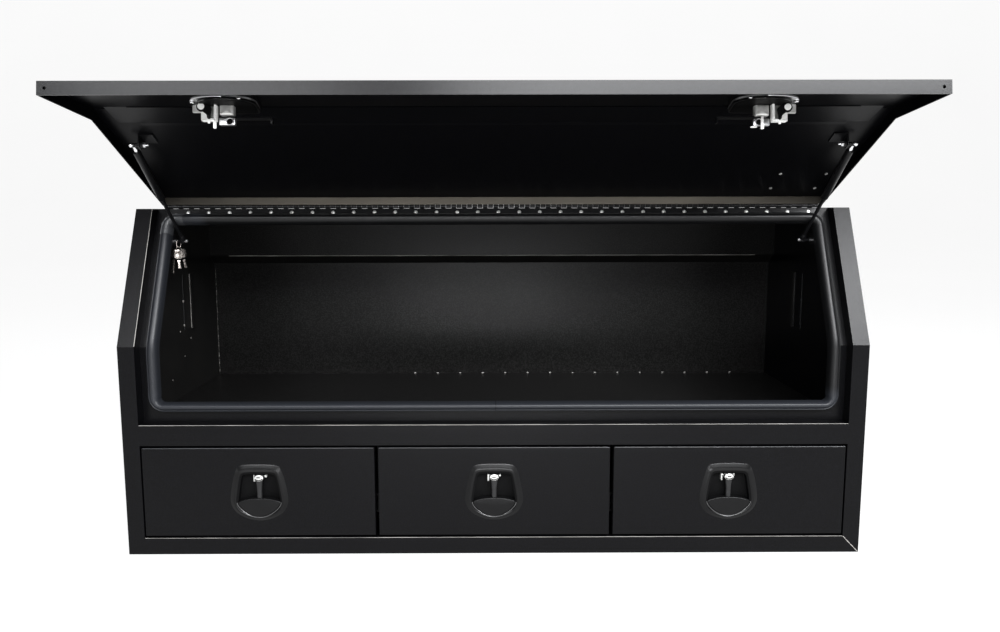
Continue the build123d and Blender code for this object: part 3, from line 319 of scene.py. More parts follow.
class Finish:
    """A material, its nodes and its Principled shader."""

    def __init__(self, name, **fixed):
        self.material = bpy.data.materials.new(name)
        self.material.use_nodes = True
        self.tree = self.material.node_tree
        self.shader = self.tree.nodes["Principled BSDF"]
        for socket, value in fixed.items():
            self.shader.inputs[socket.replace("_", " ")].default_value = value

    def node(self, kind, settings, inputs, output=0):
        """Adds a node, sets it up and feeds its sockets with values or links."""
        node = self.tree.nodes.new(kind)
        for key, value in settings.items():
            setattr(node, key, value)
        for key, value in inputs.items():
            self.feed(node.inputs[key], value)
        return Value(self, node.outputs[output])

    def feed(self, socket, value):
        """Links a value to a socket, or sets it."""
        if isinstance(value, Value):
            self.tree.links.new(value.socket, socket)
        else:
            socket.default_value = value

    def place(self, scale=(1.0, 1.0, 1.0)):
        """Object coordinates, stretched by a scale."""
        coordinates = self.node("ShaderNodeTexCoord", {}, {}, "Object")
        return self.node("ShaderNodeMapping", {}, {"Vector": coordinates, "Scale": scale})

    def noise(self, size, detail=2.0, stretch=(1.0, 1.0, 1.0)):
        """Noise between 0 and 1 whose grains are about as wide as the size, in metres."""
        sockets = {"Vector": self.place(stretch), "Scale": 1.0 / size, "Detail": detail}
        return self.node("ShaderNodeTexNoise", {}, sockets)

    def ramp(self, value, low, high):
        """0 before the first value, 1 past the second, and straight between them."""
        return self.node("ShaderNodeMapRange", {}, {"Value": value, "From Min": low, "From Max": high})

    def spots(self, size, reach):
        """1 in the middle of scattered cells and 0 beyond a reach, as specks of dust or dirt."""
        sockets = {"Vector": self.place(), "Scale": 1.0 / size, "Randomness": 1.0}
        return self.ramp(self.node("ShaderNodeTexVoronoi", {}, sockets), reach, reach * 0.5)

    def mix(self, factor, first, second):
        """A colour between two colours; 6 and 7 are the node's colour sockets, and 2 its colour output."""
        return self.node("ShaderNodeMix", {"data_type": "RGBA"}, {0: factor, 6: first, 7: second}, 2)

    def band(self, axis, low, high, soft):
        """1 where the object's coordinate lies between two values, and 0 beyond a soft edge."""
        coordinates = self.node("ShaderNodeTexCoord", {}, {}, "Object")
        along = self.node("ShaderNodeSeparateXYZ", {}, {"Vector": coordinates}, axis)
        return self.ramp(along, low - soft, low) * (1.0 - self.ramp(along, high, high + soft))

    def bump(self, height, distance, strength, under=None):
        """A normal raised by a height, on top of another bump if one is given."""
        inputs = {"Height": height, "Distance": distance, "Strength": strength}
        if under:
            inputs["Normal"] = under
        return self.node("ShaderNodeBump", {}, inputs)

    def give(self, **links):
        """Links what varies over the surface to the shader."""
        for socket, value in links.items():
            self.feed(self.shader.inputs[socket.replace("_", " ")], value)
        return self.material


FINISHES = {}


def finish(name):
    """The finish of that name, made once."""
    if name not in FINISHES:
        FINISHES[name] = MAKERS[name]()
    return FINISHES[name]


def tone(rgb, factor):
    """A colour made lighter or darker, with alpha 1."""
    return (rgb[0] * factor, rgb[1] * factor, rgb[2] * factor, 1.0)


def powder_coat(name="Black powder coat", ior=1.22, colour=None):
    """Satin black with a fine pebbled skin, faint cloudiness and dust specks."""
    coat = Finish(name, IOR=ior)
    base, rough, skin = coated(coat, colour)
    return coat.give(Base_Color=base, Roughness=rough, Normal=skin)


def coated(coat, colour=None):
    """Powder coat's colour, roughness and skin: cloud, pebbles and orange peel, with scattered dust."""
    colour = colour or bpy.context.scene.toolbox.coat_colour
    cloud = coat.noise(0.35, 3.0)
    grain = coat.noise(0.0011)
    dust = coat.spots(0.03, 0.035) * coat.noise(0.2)
    pebble = coat.ramp(coat.noise(0.0028, 1.0), 0.42, 0.66)
    base = coat.mix(pebble, tone(colour, 0.5), tone(colour, 2.6))
    base = coat.mix(cloud * 0.3, base, tone(colour, 1.6))
    base = coat.mix(dust * 0.3, base, (0.03, 0.03, 0.03, 1.0))
    skin = coat.bump(grain, 0.00006, 0.55, coat.bump(coat.noise(0.006), 0.00012, 0.5))
    return base, 0.25 + cloud * 0.08 + grain * 0.04, skin


def lid_coat():
    """The coat on the lid: duller inside, glossier on the free edge, with painted light on the hinge flange.
    """
    coat = Finish("Lid powder coat", IOR=1.17, Coat_IOR=1.175, Coat_Roughness=0.27)
    base, rough, skin = coated(coat)
    cloud = coat.noise(0.05, 3.0, (0.3, 1.0, 1.0))
    # Painted light: a pale warm band on the hinge flange, brightest across the middle of the lid and mottled
    # by a cloud
    painted_light_flange = coat.band("Y", -0.158, -0.1365, 0.001) * coat.band("Z", 0.8075, 0.8262, 0.001)
    along = coat.band("X", -0.42, 0.45, 0.34) * 0.75 + 0.25
    base = coat.mix(painted_light_flange * along * (0.75 + cloud * 0.4), base, (0.17, 0.155, 0.13, 1.0))
    edge = coat.band("Y", -0.625, -0.6145, 0.0008)
    return coat.give(Base_Color=base, Roughness=rough, Coat_Weight=edge, Normal=skin)


def side_coat():
    """The coat on the side panels: the left one's inside is painted lighter, as painted light falling on it.
    """
    coat = Finish("Side powder coat", IOR=1.22)
    base, rough, skin = coated(coat)
    # Painted light: the left panel's inside is mottled lighter where light falls on it
    painted_light_inside = coat.band("X", -0.8495, 0.0, 0.0003) * (coat.noise(0.08, 3.0) * 0.8 + 0.5)
    base = coat.mix(painted_light_inside, base, (0.0085, 0.0083, 0.008, 1.0))
    return coat.give(Base_Color=base, Roughness=rough, Normal=skin)


def inner_coat_painted_light():
    """The same coat inside, a little rougher, its colour painted lighter as painted light falling inside the
    box.
    """
    return powder_coat("Inner powder coat painted light", 1.19, (0.0044, 0.0043, 0.0042))


def drawer_steel():
    """Plain satin coat of the drawer boxes."""
    return powder_coat("Drawer box coat", 1.2, (0.0018, 0.0018, 0.0019))


def clouded(name, size, detail, dark, pale, rough, gain, skin=None, **fixed):
    """A finish whose colour and roughness drift together in a cloud of that size and detail.

    The skin, if any, is a bump: size and detail of its noise, height and strength."""
    base = Finish(name, **fixed)
    cloud = base.noise(size, detail)
    links = {"Base_Color": base.mix(cloud, (*dark, 1.0), (*pale, 1.0)), "Roughness": rough + cloud * gain}
    if skin:
        links["Normal"] = base.bump(base.noise(*skin[:2]), *skin[2:])
    return base.give(**links)


def moulding():
    """Smooth black moulding of the lock dishes, with a fine grain; hands polish the rims' tops."""
    colour = bpy.context.scene.toolbox.moulding_colour
    black = Finish("Black moulding", IOR=1.26, Coat_IOR=1.25, Coat_Roughness=0.24)
    cloud = black.noise(0.02)
    return black.give(
        Base_Color=black.mix(cloud, tone(colour, 0.8), tone(colour, 1.25)),
        Roughness=0.26 + cloud * 0.08,
        Coat_Weight=black.band("Z", 0.203, 0.218, 0.008),
        Normal=black.bump(black.noise(0.0007), 0.00003, 0.5),
    )


def pocket_painted_shade():
    """Dull black of the lock's pocket, with moulding haze; darker and duller than the rim's moulding, as
    painted shade of the recess.
    """
    dark, pale = (0.0015, 0.0015, 0.0016), (0.003, 0.003, 0.0032)
    return clouded("Pocket black painted shade", 0.02, 3.0, dark, pale, 0.45, 0.1, IOR=1.14)


def stem_metal():
    """Dark painted casting of the pull's stem."""
    dark, pale = (0.008, 0.008, 0.0085), (0.016, 0.016, 0.0165)
    return clouded("Stem casting", 0.01, 3.0, dark, pale, 0.24, 0.1, IOR=1.34)


def lip_highlight_paint():
    """The pale edge round the pull's tail: a painted highlight of the light caught along the groove's edge.
    """
    dark, pale = (0.05, 0.05, 0.05), (0.08, 0.08, 0.08)
    return clouded("Lip painted highlight", 0.01, 2.0, dark, pale, 0.2, 0.06, IOR=1.5)


def black_zinc():
    """Black-painted steel of the hinge leaves and brackets, a little glossier than the sheet."""
    dark, pale, skin = (0.003, 0.003, 0.003), (0.006, 0.006, 0.007), (0.0009, 2.0, 0.00005, 0.4)
    return clouded("Painted hinge steel", 0.03, 3.0, dark, pale, 0.28, 0.12, skin, IOR=1.3)


def rubber():
    """Extruded sponge rubber, satin, with a painted grey-blue sheen on the bottom run and the left side."""
    colour, painted_sheen = bpy.context.scene.toolbox.seal_colour, (0.013, 0.0145, 0.018, 1.0)
    seal = Finish("Seal rubber", IOR=1.35)
    cloud = seal.noise(0.05, 3.0)
    # Painted sheen: a lighter grey-blue on the left side and the bottom run, where the seal catches the
    # light
    shade = seal.mix(seal.band("X", -0.81, -0.7, 0.02) * 0.75, tone(colour, 0.25), painted_sheen)
    shade = seal.mix(seal.band("Z", 0.2, 0.372, 0.02), shade, painted_sheen)
    return seal.give(
        Base_Color=seal.mix(cloud * 0.3, shade, tone(colour, 1.3)),
        Roughness=0.36 + cloud * 0.12,
        Normal=seal.bump(seal.noise(0.0016, 3.0), 0.00006, 0.5),
    )


def zinc():
    """Bright zinc plate with a faint spangle and a rolled grain."""
    plate = Finish("Zinc plate", Metallic=1.0)
    rolled = plate.noise(0.003, 2.0, (0.08, 1.0, 1.0))
    return plate.give(
        Base_Color=plate.mix(plate.noise(0.006), (0.52, 0.52, 0.53, 1.0), (0.74, 0.74, 0.75, 1.0)),
        Roughness=0.26 + rolled * 0.16,
        Normal=plate.bump(rolled, 0.00003, 0.4),
    )


def chrome():
    """Polished chrome with faint handling marks."""
    dark, pale = (0.78, 0.79, 0.8), (0.9, 0.9, 0.91)
    return clouded("Chrome", 0.004, 3.0, dark, pale, 0.08, 0.1, Metallic=1.0)


def cast_zinc():
    """Pale cast zinc of the lock bodies, slightly pitted."""
    dark, pale, pits = (0.55, 0.55, 0.53), (0.78, 0.78, 0.76), (0.0012, 3.0, 0.00008, 0.5)
    return clouded("Cast zinc", 0.01, 3.0, dark, pale, 0.38, 0.12, pits, Metallic=0.75)


def nylon():
    """White nylon of the lid locks' brackets, caps and pins."""
    dark, pale = (0.72, 0.72, 0.7), (0.82, 0.82, 0.8)
    return clouded("White nylon", 0.01, 2.0, dark, pale, 0.45, 0.1)


def rivet_metal():
    """Bright nickel of the hinge rivets, dulled in places."""
    dark, pale = (0.62, 0.62, 0.6), (0.85, 0.85, 0.83)
    return clouded("Rivet nickel", 0.004, 2.0, dark, pale, 0.3, 0.12, Metallic=0.7)


def seal_tape():
    """Grey creased tape over the seal's corner; the same pale grey paints the lines along the drawers' top
    edges and the side strips as painted highlights of those edges.
    """
    dark, pale, creases = (0.012, 0.013, 0.014), (0.04, 0.042, 0.046), (0.004, 3.0, 0.0008, 0.8)
    return clouded("Seal tape and painted edge highlights", 0.008, 3.0, dark, pale, 0.3, 0.2, creases, IOR=1.5)


def key_metal():
    """Worn nickel, clean in some places and dark in others."""
    metal = Finish("Key nickel", Metallic=1.0)
    patches = metal.noise(0.0035)
    colour = metal.mix(metal.ramp(patches, 0.38, 0.62), (0.07, 0.062, 0.056, 1.0), (0.62, 0.57, 0.53, 1.0))
    return metal.give(Base_Color=colour, Roughness=0.22 + patches * 0.2)


def fold_highlight_and_weld_paint():
    """Pale paint of the lines along folds, which are painted highlights, and of the pale weld spots, seams
    and specks.
    """
    fold = Finish("Painted fold highlight and weld", IOR=1.5)
    patches = fold.noise(0.09, 3.0)
    colour = fold.mix(fold.ramp(patches, 0.3, 0.6), (0.1, 0.098, 0.09, 1.0), (0.3, 0.29, 0.27, 1.0))
    return fold.give(Base_Color=colour, Roughness=0.3 + patches * 0.2)


def strut_paint():
    """Semi-gloss black paint of the gas struts."""
    dark, pale = (0.0025, 0.0025, 0.003), (0.005, 0.005, 0.0055)
    return clouded("Strut paint", 0.02, 2.0, dark, pale, 0.26, 0.08, IOR=1.3)


def floor_paint():
    """A pale sheet lit from behind, with the slightest unevenness."""
    floor = Finish("Studio floor", Emission_Strength=0.9, Roughness=0.9, IOR=1.2)
    cloud = floor.noise(1.5)
    pale = floor.mix(cloud, (0.985, 0.985, 0.985, 1.0), (1.0, 1.0, 1.0, 1.0))
    grey = floor.mix(cloud, (0.15, 0.15, 0.15, 1.0), (0.16, 0.16, 0.16, 1.0))
    return floor.give(Emission_Color=pale, Base_Color=grey)


MAKERS = {
    "coat": powder_coat,
    "lid": lid_coat,
    "side": side_coat,
    "inner": inner_coat_painted_light,
    "pocket": pocket_painted_shade,
    "stem": stem_metal,
    "box": drawer_steel,
    "moulding": moulding,
    "lip": lip_highlight_paint,
    "painted": black_zinc,
    "rubber": rubber,
    "zinc": zinc,
    "chrome": chrome,
    "cast": cast_zinc,
    "nylon": nylon,
    "keys": key_metal,
    "rivet": rivet_metal,
    "fold": fold_highlight_and_weld_paint,
    "tape": seal_tape,
    "strut": strut_paint,
    "floor": floor_paint,
}


# Settings


def colour_setting(name, what, default):
    """A colour that a user would change."""
    return FloatVectorProperty(
        name=name, description=f"Colour of the {what}", default=default, subtype="COLOR",
        size=3, min=0.0, max=1.0,
    )


class ToolboxSettings(PropertyGroup):
    """Colours and sizes that a user would change."""

    coat_colour: colour_setting("Powder coat", "powder coat", (0.0012, 0.0012, 0.0015))
    moulding_colour: colour_setting("Lock moulding", "lock dishes and pulls", (0.003, 0.003, 0.0032))
    seal_colour: colour_setting("Seal", "rubber seal", (0.006, 0.0062, 0.007))
    rim_height: FloatProperty(
        name="Lock rim", description="How far the lock's rim stands proud", default=0.004,
        unit="LENGTH", min=0.001, max=0.01,
    )
    key_light: FloatProperty(
        name="Key light", description="Power of the main softbox", default=330.0, unit="POWER", min=0.0,
    )


# Places


def drawer_lock(bay):
    """Turns lock points (x right, y into the panel, z up) into the row frame, for a drawer."""
    shift = (BAYS.index(bay) - 1) * BAY_PITCH

    def place(points):
        return row(np.asarray(points) + (shift, 0.0, DRAWER_LOCK_HEIGHT))

    return place


def lid_lock(sign):
    """Turns lock points into the row frame, for a lock of the open lid."""

    def place(points):
        return row(open_lid(np.asarray(points) + (sign * LID_LOCK_X, 0.0, LID_LOCK_HEIGHT)))

    return place


class Lock:
    """One of the five locks: its name, its place, and its bodies and CAD nodes."""

    def __init__(self, kind, side, place, dish_body, pull_body):
        self.name, self.place = f"{kind}_{side}", place
        self.dish_body, self.pull_body = dish_body, pull_body
        self.dish_node, self.pull_node = f"{kind}_lock_dish_{side}", f"{kind}_handle_{side}"

    def build(self, part, coat, body, *grids):
        """A part of this lock, made of grids in the lock's own millimetres."""
        return Surface(*grids).build(f"{self.name}_{part}", coat, body, self.place)


def locks():
    """The drawer locks and the lid locks."""
    for bay in BAYS:
        yield Lock("drawer", bay, drawer_lock(bay), f"drawer_{bay}", f"handle_{bay}")
    for side, sign in SIDES:
        yield Lock("lid", side, lid_lock(sign), "lid", f"lid_handle_{side}")


class TOOLBOX_OT_coat(Operator):
    """Gives every CAD node its finish."""

    bl_idname = "toolbox.coat"
    bl_label = "Coat the sheet metal"

    def execute(self, context):
        groups = {
            "rubber": ("opening_seal",),
            "lid": ("lid_pan",),
            "side": ("side_panel",),
            "painted": ("hinge_body", "hinge_lid", "strut_brackets", "lid_strut_brackets", "runner_"),
            "zinc": ("hinge_pin", "lid_lock_plate"),
            "rivet": ("hinge_rivets", "lid_rivets"),
            "moulding": ("drawer_lock_dish", "lid_lock_dish", "drawer_handle", "lid_handle"),
            "strut": ("strut_tube", "drawer_cam", "lid_cam"),
            "chrome": ("strut_rod",),
            "keys": ("key_bunch",),
            "box": ("drawer_box",),
            # The inside parts take the inner coat, whose lighter colour is painted light
            "inner": ("rear_", "upper_floor", "side_strips", "drawer_partitions", "bay_liners"),
        }
        for node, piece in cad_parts.items():
            chosen = "coat"
            for name, starts in groups.items():
                if node.startswith(starts):
                    chosen = name
            piece.data.materials.clear()
            piece.data.materials.append(finish(chosen))
        return {"FINISHED"}


def dish_outline():
    """The dish's outer edge: a curve through a gently arched top, flaring sides and a round bottom."""
    half = [(0, 66), (20, 65.8), (39, 64), (48.5, 59.5), (53, 50), (57.5, 37), (61.5, 20), (64.5, 4)]
    half += [(66.5, -13), (65.5, -27), (60, -40), (50, -51.5), (32, -61.5), (15, -66.5), (0, -68)]
    return curve_through(both_halves(half), 96)


def pocket_outline():
    """The pocket's edge: a flat top, straight flaring sides and a round bottom."""
    half = [(0, 44), (18, 43.8), (32, 42.5), (38.5, 37), (41.5, 25), (44, 10), (46.5, -6), (48, -17)]
    half += [(47, -28), (39, -41), (24, -50), (10, -54), (0, -54.5)]
    return curve_through(both_halves(half), 96)


def tail_outline():
    """The pull's tail: a lens with a nearly straight top and a deep round bottom."""
    half = [(0, -14), (17, -14.4), (33, -17), (44.5, -20.5), (49, -24), (46, -32), (37, -42), (23.5, -51.5)]
    return curve_through(both_halves(half + [(11, -56.5), (0, -58)]), 72)


class TOOLBOX_OT_dishes(Operator):
    """Builds the lock dishes: rounded rim, dark pocket in painted shade, a pale lip under the tail as a
    painted highlight, and cast lugs.
    """

    bl_idname = "toolbox.dishes"
    bl_label = "Build the lock dishes"

    def execute(self, context):
        proud = context.scene.toolbox.rim_height / MM
        outer, inner = dish_outline(), pocket_outline()
        across = np.linspace(0.0, 1.0, 17)
        crest = 12
        loops = [outer * (1 - u) + inner * u for u in across]
        rise = np.interp(across, (0.0, 0.05, 0.36, 0.48, 0.62, 1.0), (0.03, 0.16, 0.78, 0.96, 1.0, 0.2))
        crown = list(-proud * rise)
        wall, well = inset(inner, -5.2), inset(inner, -4.2)
        back = rings([inner, wall, wall, outer], [17.8, 17.8, 0.6, 0.0])
        rim = np.concatenate([rings(loops[: crest + 1], crown[: crest + 1]), back])
        # From the rim's crest inwards the dish takes the pocket's finish, whose darkness is painted shade
        walls = loops[crest:] + [well, well, inset(inner, -2.0), inset(inner, 3.0), inner * 0.0]
        pocket = rings(walls, crown[crest:] + [1.2, 12.0, 15.4, 16.6, 16.6])
        lip = inset(tail_outline(), -1.6)
        lip = lip[np.argsort(lip[:, 0])]
        lip = lip[lip[:, 1] < -23.0]
        lip = tube(laid(lip, -3.4), 0.7, 10)
        lugs = [
            pillow(rounded_box(4.4, tall, 1.2) + (x, 38.5 - tall / 2), 9.0, 16.8, 1.4)
            for x, tall in ((-13.4, 17.0), (13.4, 7.0))
        ]
        axle = lathe([(0, -13.5), (2.6, -13.5), (2.6, 13.5), (0, 13.5)], 16)[..., [1, 0, 2]]
        lugs.append(axle + (0.0, 9.0, 35.6))
        for lock in locks():
            dish = lock.build("dish", "moulding", lock.dish_body, rim)
            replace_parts(dish, lock.dish_node)
            lock.build("pocket", "pocket", lock.dish_body, pocket)
            # The lip is a painted highlight along the lower edge of the tail
            lock.build("lip", "lip", lock.dish_body, lip)
            lock.build("lugs", "cast", lock.dish_body, *lugs)
        return {"FINISHED"}


class TOOLBOX_OT_pulls(Operator):
    """Builds the folding pulls with their waisted stems, and the cast key heads."""

    bl_idname = "toolbox.pulls"
    bl_label = "Build the lock pulls"

    def execute(self, context):
        tail = pillow(tail_outline(), -3.6, 7.0, 2.2)
        hub = lathe([(0, -11.4), (6.0, -11.4), (6.6, -10.6), (6.6, 10.6), (6.0, 11.4), (0, 11.4)])
        hub = hub[..., [1, 0, 2]] + (0.0, 8.5, 36.0)
        stem = waisted_stem()
        head = [(0, -2.5), (6.8, -2.4), (8.1, -1.6), (8.4, 0.5), (7.6, 3.0), (0, 3.0)]
        head = lathe(head, 36) * (1.25, 1.0, 0.84) + (0.0, 0.0, 33.6)
        arc = np.linspace(math.radians(190), math.radians(350), 20)
        arc = np.column_stack([8.6 * np.cos(arc), 33.6 + 4.6 * np.sin(arc)])
        groove = tube(laid(arc, -2.3), 1.0, 8)
        slot = pillow(rounded_box(9.0, 2.4, 1.1) + (0.0, 35.4), -3.0, -2.2, 0.1, 3)
        for lock in locks():
            pull = lock.build("pull", "moulding", lock.pull_body, tail, hub)
            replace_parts(pull, lock.pull_node)
            lock.build("stem", "stem", lock.pull_body, stem)
            lock.build("key_head", "cast", lock.pull_body, head)
            lock.build("keyway", "pocket", lock.pull_body, groove, slot)
        return {"FINISHED"}


def waisted_stem():
    """The pull's stem: a squarish section |cos t|^0.75, |sin t|^0.75 whose width dips, then widens."""
    z = np.linspace(-18.0, 32.0, 26)
    rise = (z + 18.0) / 50.0
    width = 6.0 + 2.6 * rise**1.6 - 0.9 * np.sin(np.pi * rise)
    t = np.linspace(0.0, 2 * np.pi, 28, endpoint=False)
    across, along = (np.sign(f) * np.abs(f) ** 0.75 for f in (np.cos(t), np.sin(t)))
    shape = (len(z), len(t))
    y, height = np.broadcast_to(4.0 + 5.0 * along, shape), np.broadcast_to(z[:, None], shape)
    return capped(np.stack([width[:, None] * across, y, height], -1))


def slab(low, high, corner, front, back, edge):
    """A rounded slab between two corners (outwards, depth); its face looks to the lid's free edge."""
    outline = rounded_box(high[0] - low[0], high[1] - low[1], corner)
    outline = outline + ((low[0] + high[0]) / 2, (low[1] + high[1]) / 2)
    return pillow(outline, front, back, edge)[..., [0, 2, 1]]


def knob(profile, count, place):
    """A turned part whose axis points to the lid's free edge."""
    return lathe(profile, count)[..., [0, 2, 1]] + place


class TOOLBOX_OT_lock_works(Operator):
    """Builds what shows behind the lid locks: clamp plate, bracket, lever, lock body, pins and screws."""

    bl_idname = "toolbox.lock_works"
    bl_label = "Build the lid locks' works"

    def execute(self, context):
        for side, sign in SIDES:
            self.plate(side, sign)
            self.catch(side, sign)
            cap = lathe([(0, 17.4), (2.0, 17.4), (3.8, 16.2), (4.3, 14.4), (4.3, 13.5), (0, 13.5)], 24)
            screws = Surface(*(cap + (x, 0.0, z) for x, z in ((62.0, -26.0), (-32.0, -50.0), (-24.0, 37.0))))
            screws.build(f"lid_{side}_screws", "chrome", "lid", self.mirrored(sign))
        return {"FINISHED"}

    def mirrored(self, sign, up=0.0, floor=-math.inf):
        """A place that lifts points, keeps them behind a depth and turns their outward axis to one side."""
        lid_place = lid_lock(sign)

        def place(points):
            moved = np.asarray(points) + (0.0, up, 0.0)
            moved[..., 1] = np.maximum(moved[..., 1], floor)
            return lid_place(moved * (sign, 1.0, 1.0))

        return place

    def plate(self, side, sign):
        """The clamp plate with its rolled edge, and the back of the pocket."""
        place = self.mirrored(sign)
        outer, inner = inset(dish_outline(), 8.0) + (8.0, 0.0), inset(pocket_outline(), -5.4)
        plate = Surface(rings([outer, outer, inner, inner, outer], [10.5, 13.5, 13.5, 10.5, 10.5]))
        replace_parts(plate.build(f"lid_{side}_clamp_plate", "zinc", "lid", place), f"lid_lock_plate_{side}")
        edge = tube(laid(np.concatenate([outer, outer[:1]]), 13.4), 0.9, 8)
        Surface(edge).build(f"lid_{side}_plate_edge", "zinc", "lid", place)
        well = inset(pocket_outline(), -1.7)
        loops = [well, well, inset(well, 1.5), inset(well, 5.0), well * 0.0]
        housing = Surface(rings(loops, [16.8, 17.8, 18.2, 18.4, 18.4]))
        housing.build(f"lid_{side}_pocket_back", "pocket", "lid", place)

    def catch(self, side, sign):
        """The bracket, lever, lock body and pins, which stand on the pocket's back."""
        place = self.mirrored(sign, -3.0 if side == "left" else 0.0, CATCH_FLOOR)
        lever = [(46, 15.5), (40.5, 16), (33.5, 22), (27.5, 28), (28, 35), (29, 41), (29.6, 46.5)]
        lever += [(32.4, 48.5), (35, 46), (36.4, 40.5), (43, 35), (51.5, 29), (53.4, 21.5)]
        lever = pillow(curve_through(lever, 52), -25.0, -22.0, 0.8)[..., [0, 2, 1]]
        boss = [(0, -26.0), (8.4, -26.0), (9.0, -25.2), (9.0, -22.0), (0, -22.0)]
        head = [(0, -27.8), (1.3, -27.8), (1.6, -28.8), (5.0, -28.8), (6.0, -28.2), (6.2, -26.0), (0, -26.0)]
        ring = [(5.6, -14.6), (6.2, -15.0), (6.8, -14.6), (6.8, -12.0), (5.6, -12.0), (5.6, -14.6)]
        drum = [(0, -13.4), (5.6, -13.4), (5.6, -8.0), (0, -8.0)]
        long_pin = [(0, 41.0), (2.6, 41.0), (2.6, 52.0), (3.1, 52.6), (3.1, 62.5), (2.4, 64.0), (0, 64.0)]
        short_pin = [(0, 50.0), (2.3, 50.0), (2.3, 54.4), (0, 55.0)]
        pins = [
            lathe(long_pin, 24) + (23.5 if side == "left" else 2.0, 0.0, -16.0),
            lathe(short_pin, 20) + (34.5, 0.0, -16.0),
        ]
        if side == "right":
            pins.append(slab((-16.5, 56.5), (-4.5, 59.0), 1.0, -8.0, -5.0, 0.6))
        parts = (
            ("bracket", "nylon", slab((36.0, 27.0), (47.5, 50.0), 1.0, -21.0, -11.0, 0.8),
             slab((20.0, 46.0), (47.0, 51.0), 1.0, -21.0, -11.0, 0.8),
             slab((19.5, 14.0), (24.0, 51.0), 1.0, -21.0, -11.0, 0.8)),
            ("bracket_back", "cast", slab((20.5, 13.0), (46.0, 46.0), 2.0, -9.0, -6.0, 0.6)),
            ("foot", "cast", slab((48.0, 17.0), (65.0, 35.0), 2.0, -17.0, -14.0, 0.6)),
            ("lever", "moulding", lever),
            ("lever_boss", "pocket", knob(boss, 36, (46.0, 25.8, 0.0))),
            ("axle", "nylon", knob(head, 36, (45.6, 25.4, 0.0))),
            ("lock_body", "cast", slab((-10.5, 18.0), (15.4, 39.0), 2.0, -17.0, -3.0, 4.0)),
            ("lower_frame", "zinc", slab((-13.0, 43.8), (17.0, 57.0), 1.5, -13.0, -5.0, 1.0),
             knob(ring, 36, (-3.5, 50.6, 0.0))),
            ("drum", "pocket", knob(drum, 32, (-3.5, 50.6, 0.0))),
            ("pins", "nylon", *pins),
        )
        for name, coat, *grids in parts:
            Surface(*grids).build(f"lid_{side}_{name}", coat, "lid", place)


class TOOLBOX_OT_hinge(Operator):
    """Builds the piano hinge: two leaves with half-inch knuckles that take turns, and domed rivets."""

    bl_idname = "toolbox.hinge"
    bl_label = "Build the hinge"

    def execute(self, context):
        t = np.linspace(0.0, 2 * np.pi, 20, endpoint=False)
        roll = np.stack([-15.0 + 4.5 * np.cos(t), 23.5 + 4.5 * np.sin(t)], -1)
        leaves = (
            [(9.0, 26.5), (9.0, 28.0), (-9.7, 28.0), (-9.7, 26.5)],
            [(-10.5, 2.0), (-12.0, 2.0), (-12.0, 18.2), (-10.5, 18.2)],
        )
        fixed, moving = (Surface(sloped(section, -LEAF_END, LEAF_END)) for section in leaves)
        webs = (
            (fixed, [(-9.7, 26.5), (-9.7, 28.0), (-15.0, 28.0), (-15.0, 26.5)]),
            (moving, [(-10.5, 18.2), (-12.0, 18.2), (-12.0, 23.5), (-10.5, 23.5)]),
        )
        for i in range(KNUCKLES):
            low = 0.1 - LEAF_END + KNUCKLE_PITCH * i + KNUCKLE_GAP / 2
            leaf, web = webs[i % 2]
            for section in (roll, web):
                leaf.add(sloped(section, low, low + KNUCKLE_PITCH - KNUCKLE_GAP))
        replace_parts(fixed.build("hinge_knuckles_body", "painted", "cabinet"), "hinge_body_leaf")
        moving = moving.build("hinge_knuckles_lid", "painted", "lid", lambda points: row(open_lid(points)))
        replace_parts(moving, "hinge_lid_leaf")
        t = np.linspace(0.0, np.pi / 2, 7)
        dome = [(0.0, -2.6), (1.5, -2.6), (1.6, -2.35)]
        dome += [(1.7 + 3.2 * math.sin(a), -2.2 * math.cos(a)) for a in t] + [(4.9, 0.6), (0, 0.6)]
        _, y, z = box_in_mm("hinge_rivets").mean(0)
        head = turned(lathe(dome, 24), "X", -math.degrees(math.atan2(*SLOPE))) + (0.0, y + 0.7, z - 0.3)
        places = (np.arange(RIVETS) - RIVETS // 2) * RIVET_PITCH + RIVET_SHIFT
        rivets = Surface(*(head + (x, 0.0, 0.0) for x in places))
        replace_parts(rivets.build("hinge_rivet_domes", "rivet", "cabinet"), "hinge_rivets")
        return {"FINISHED"}


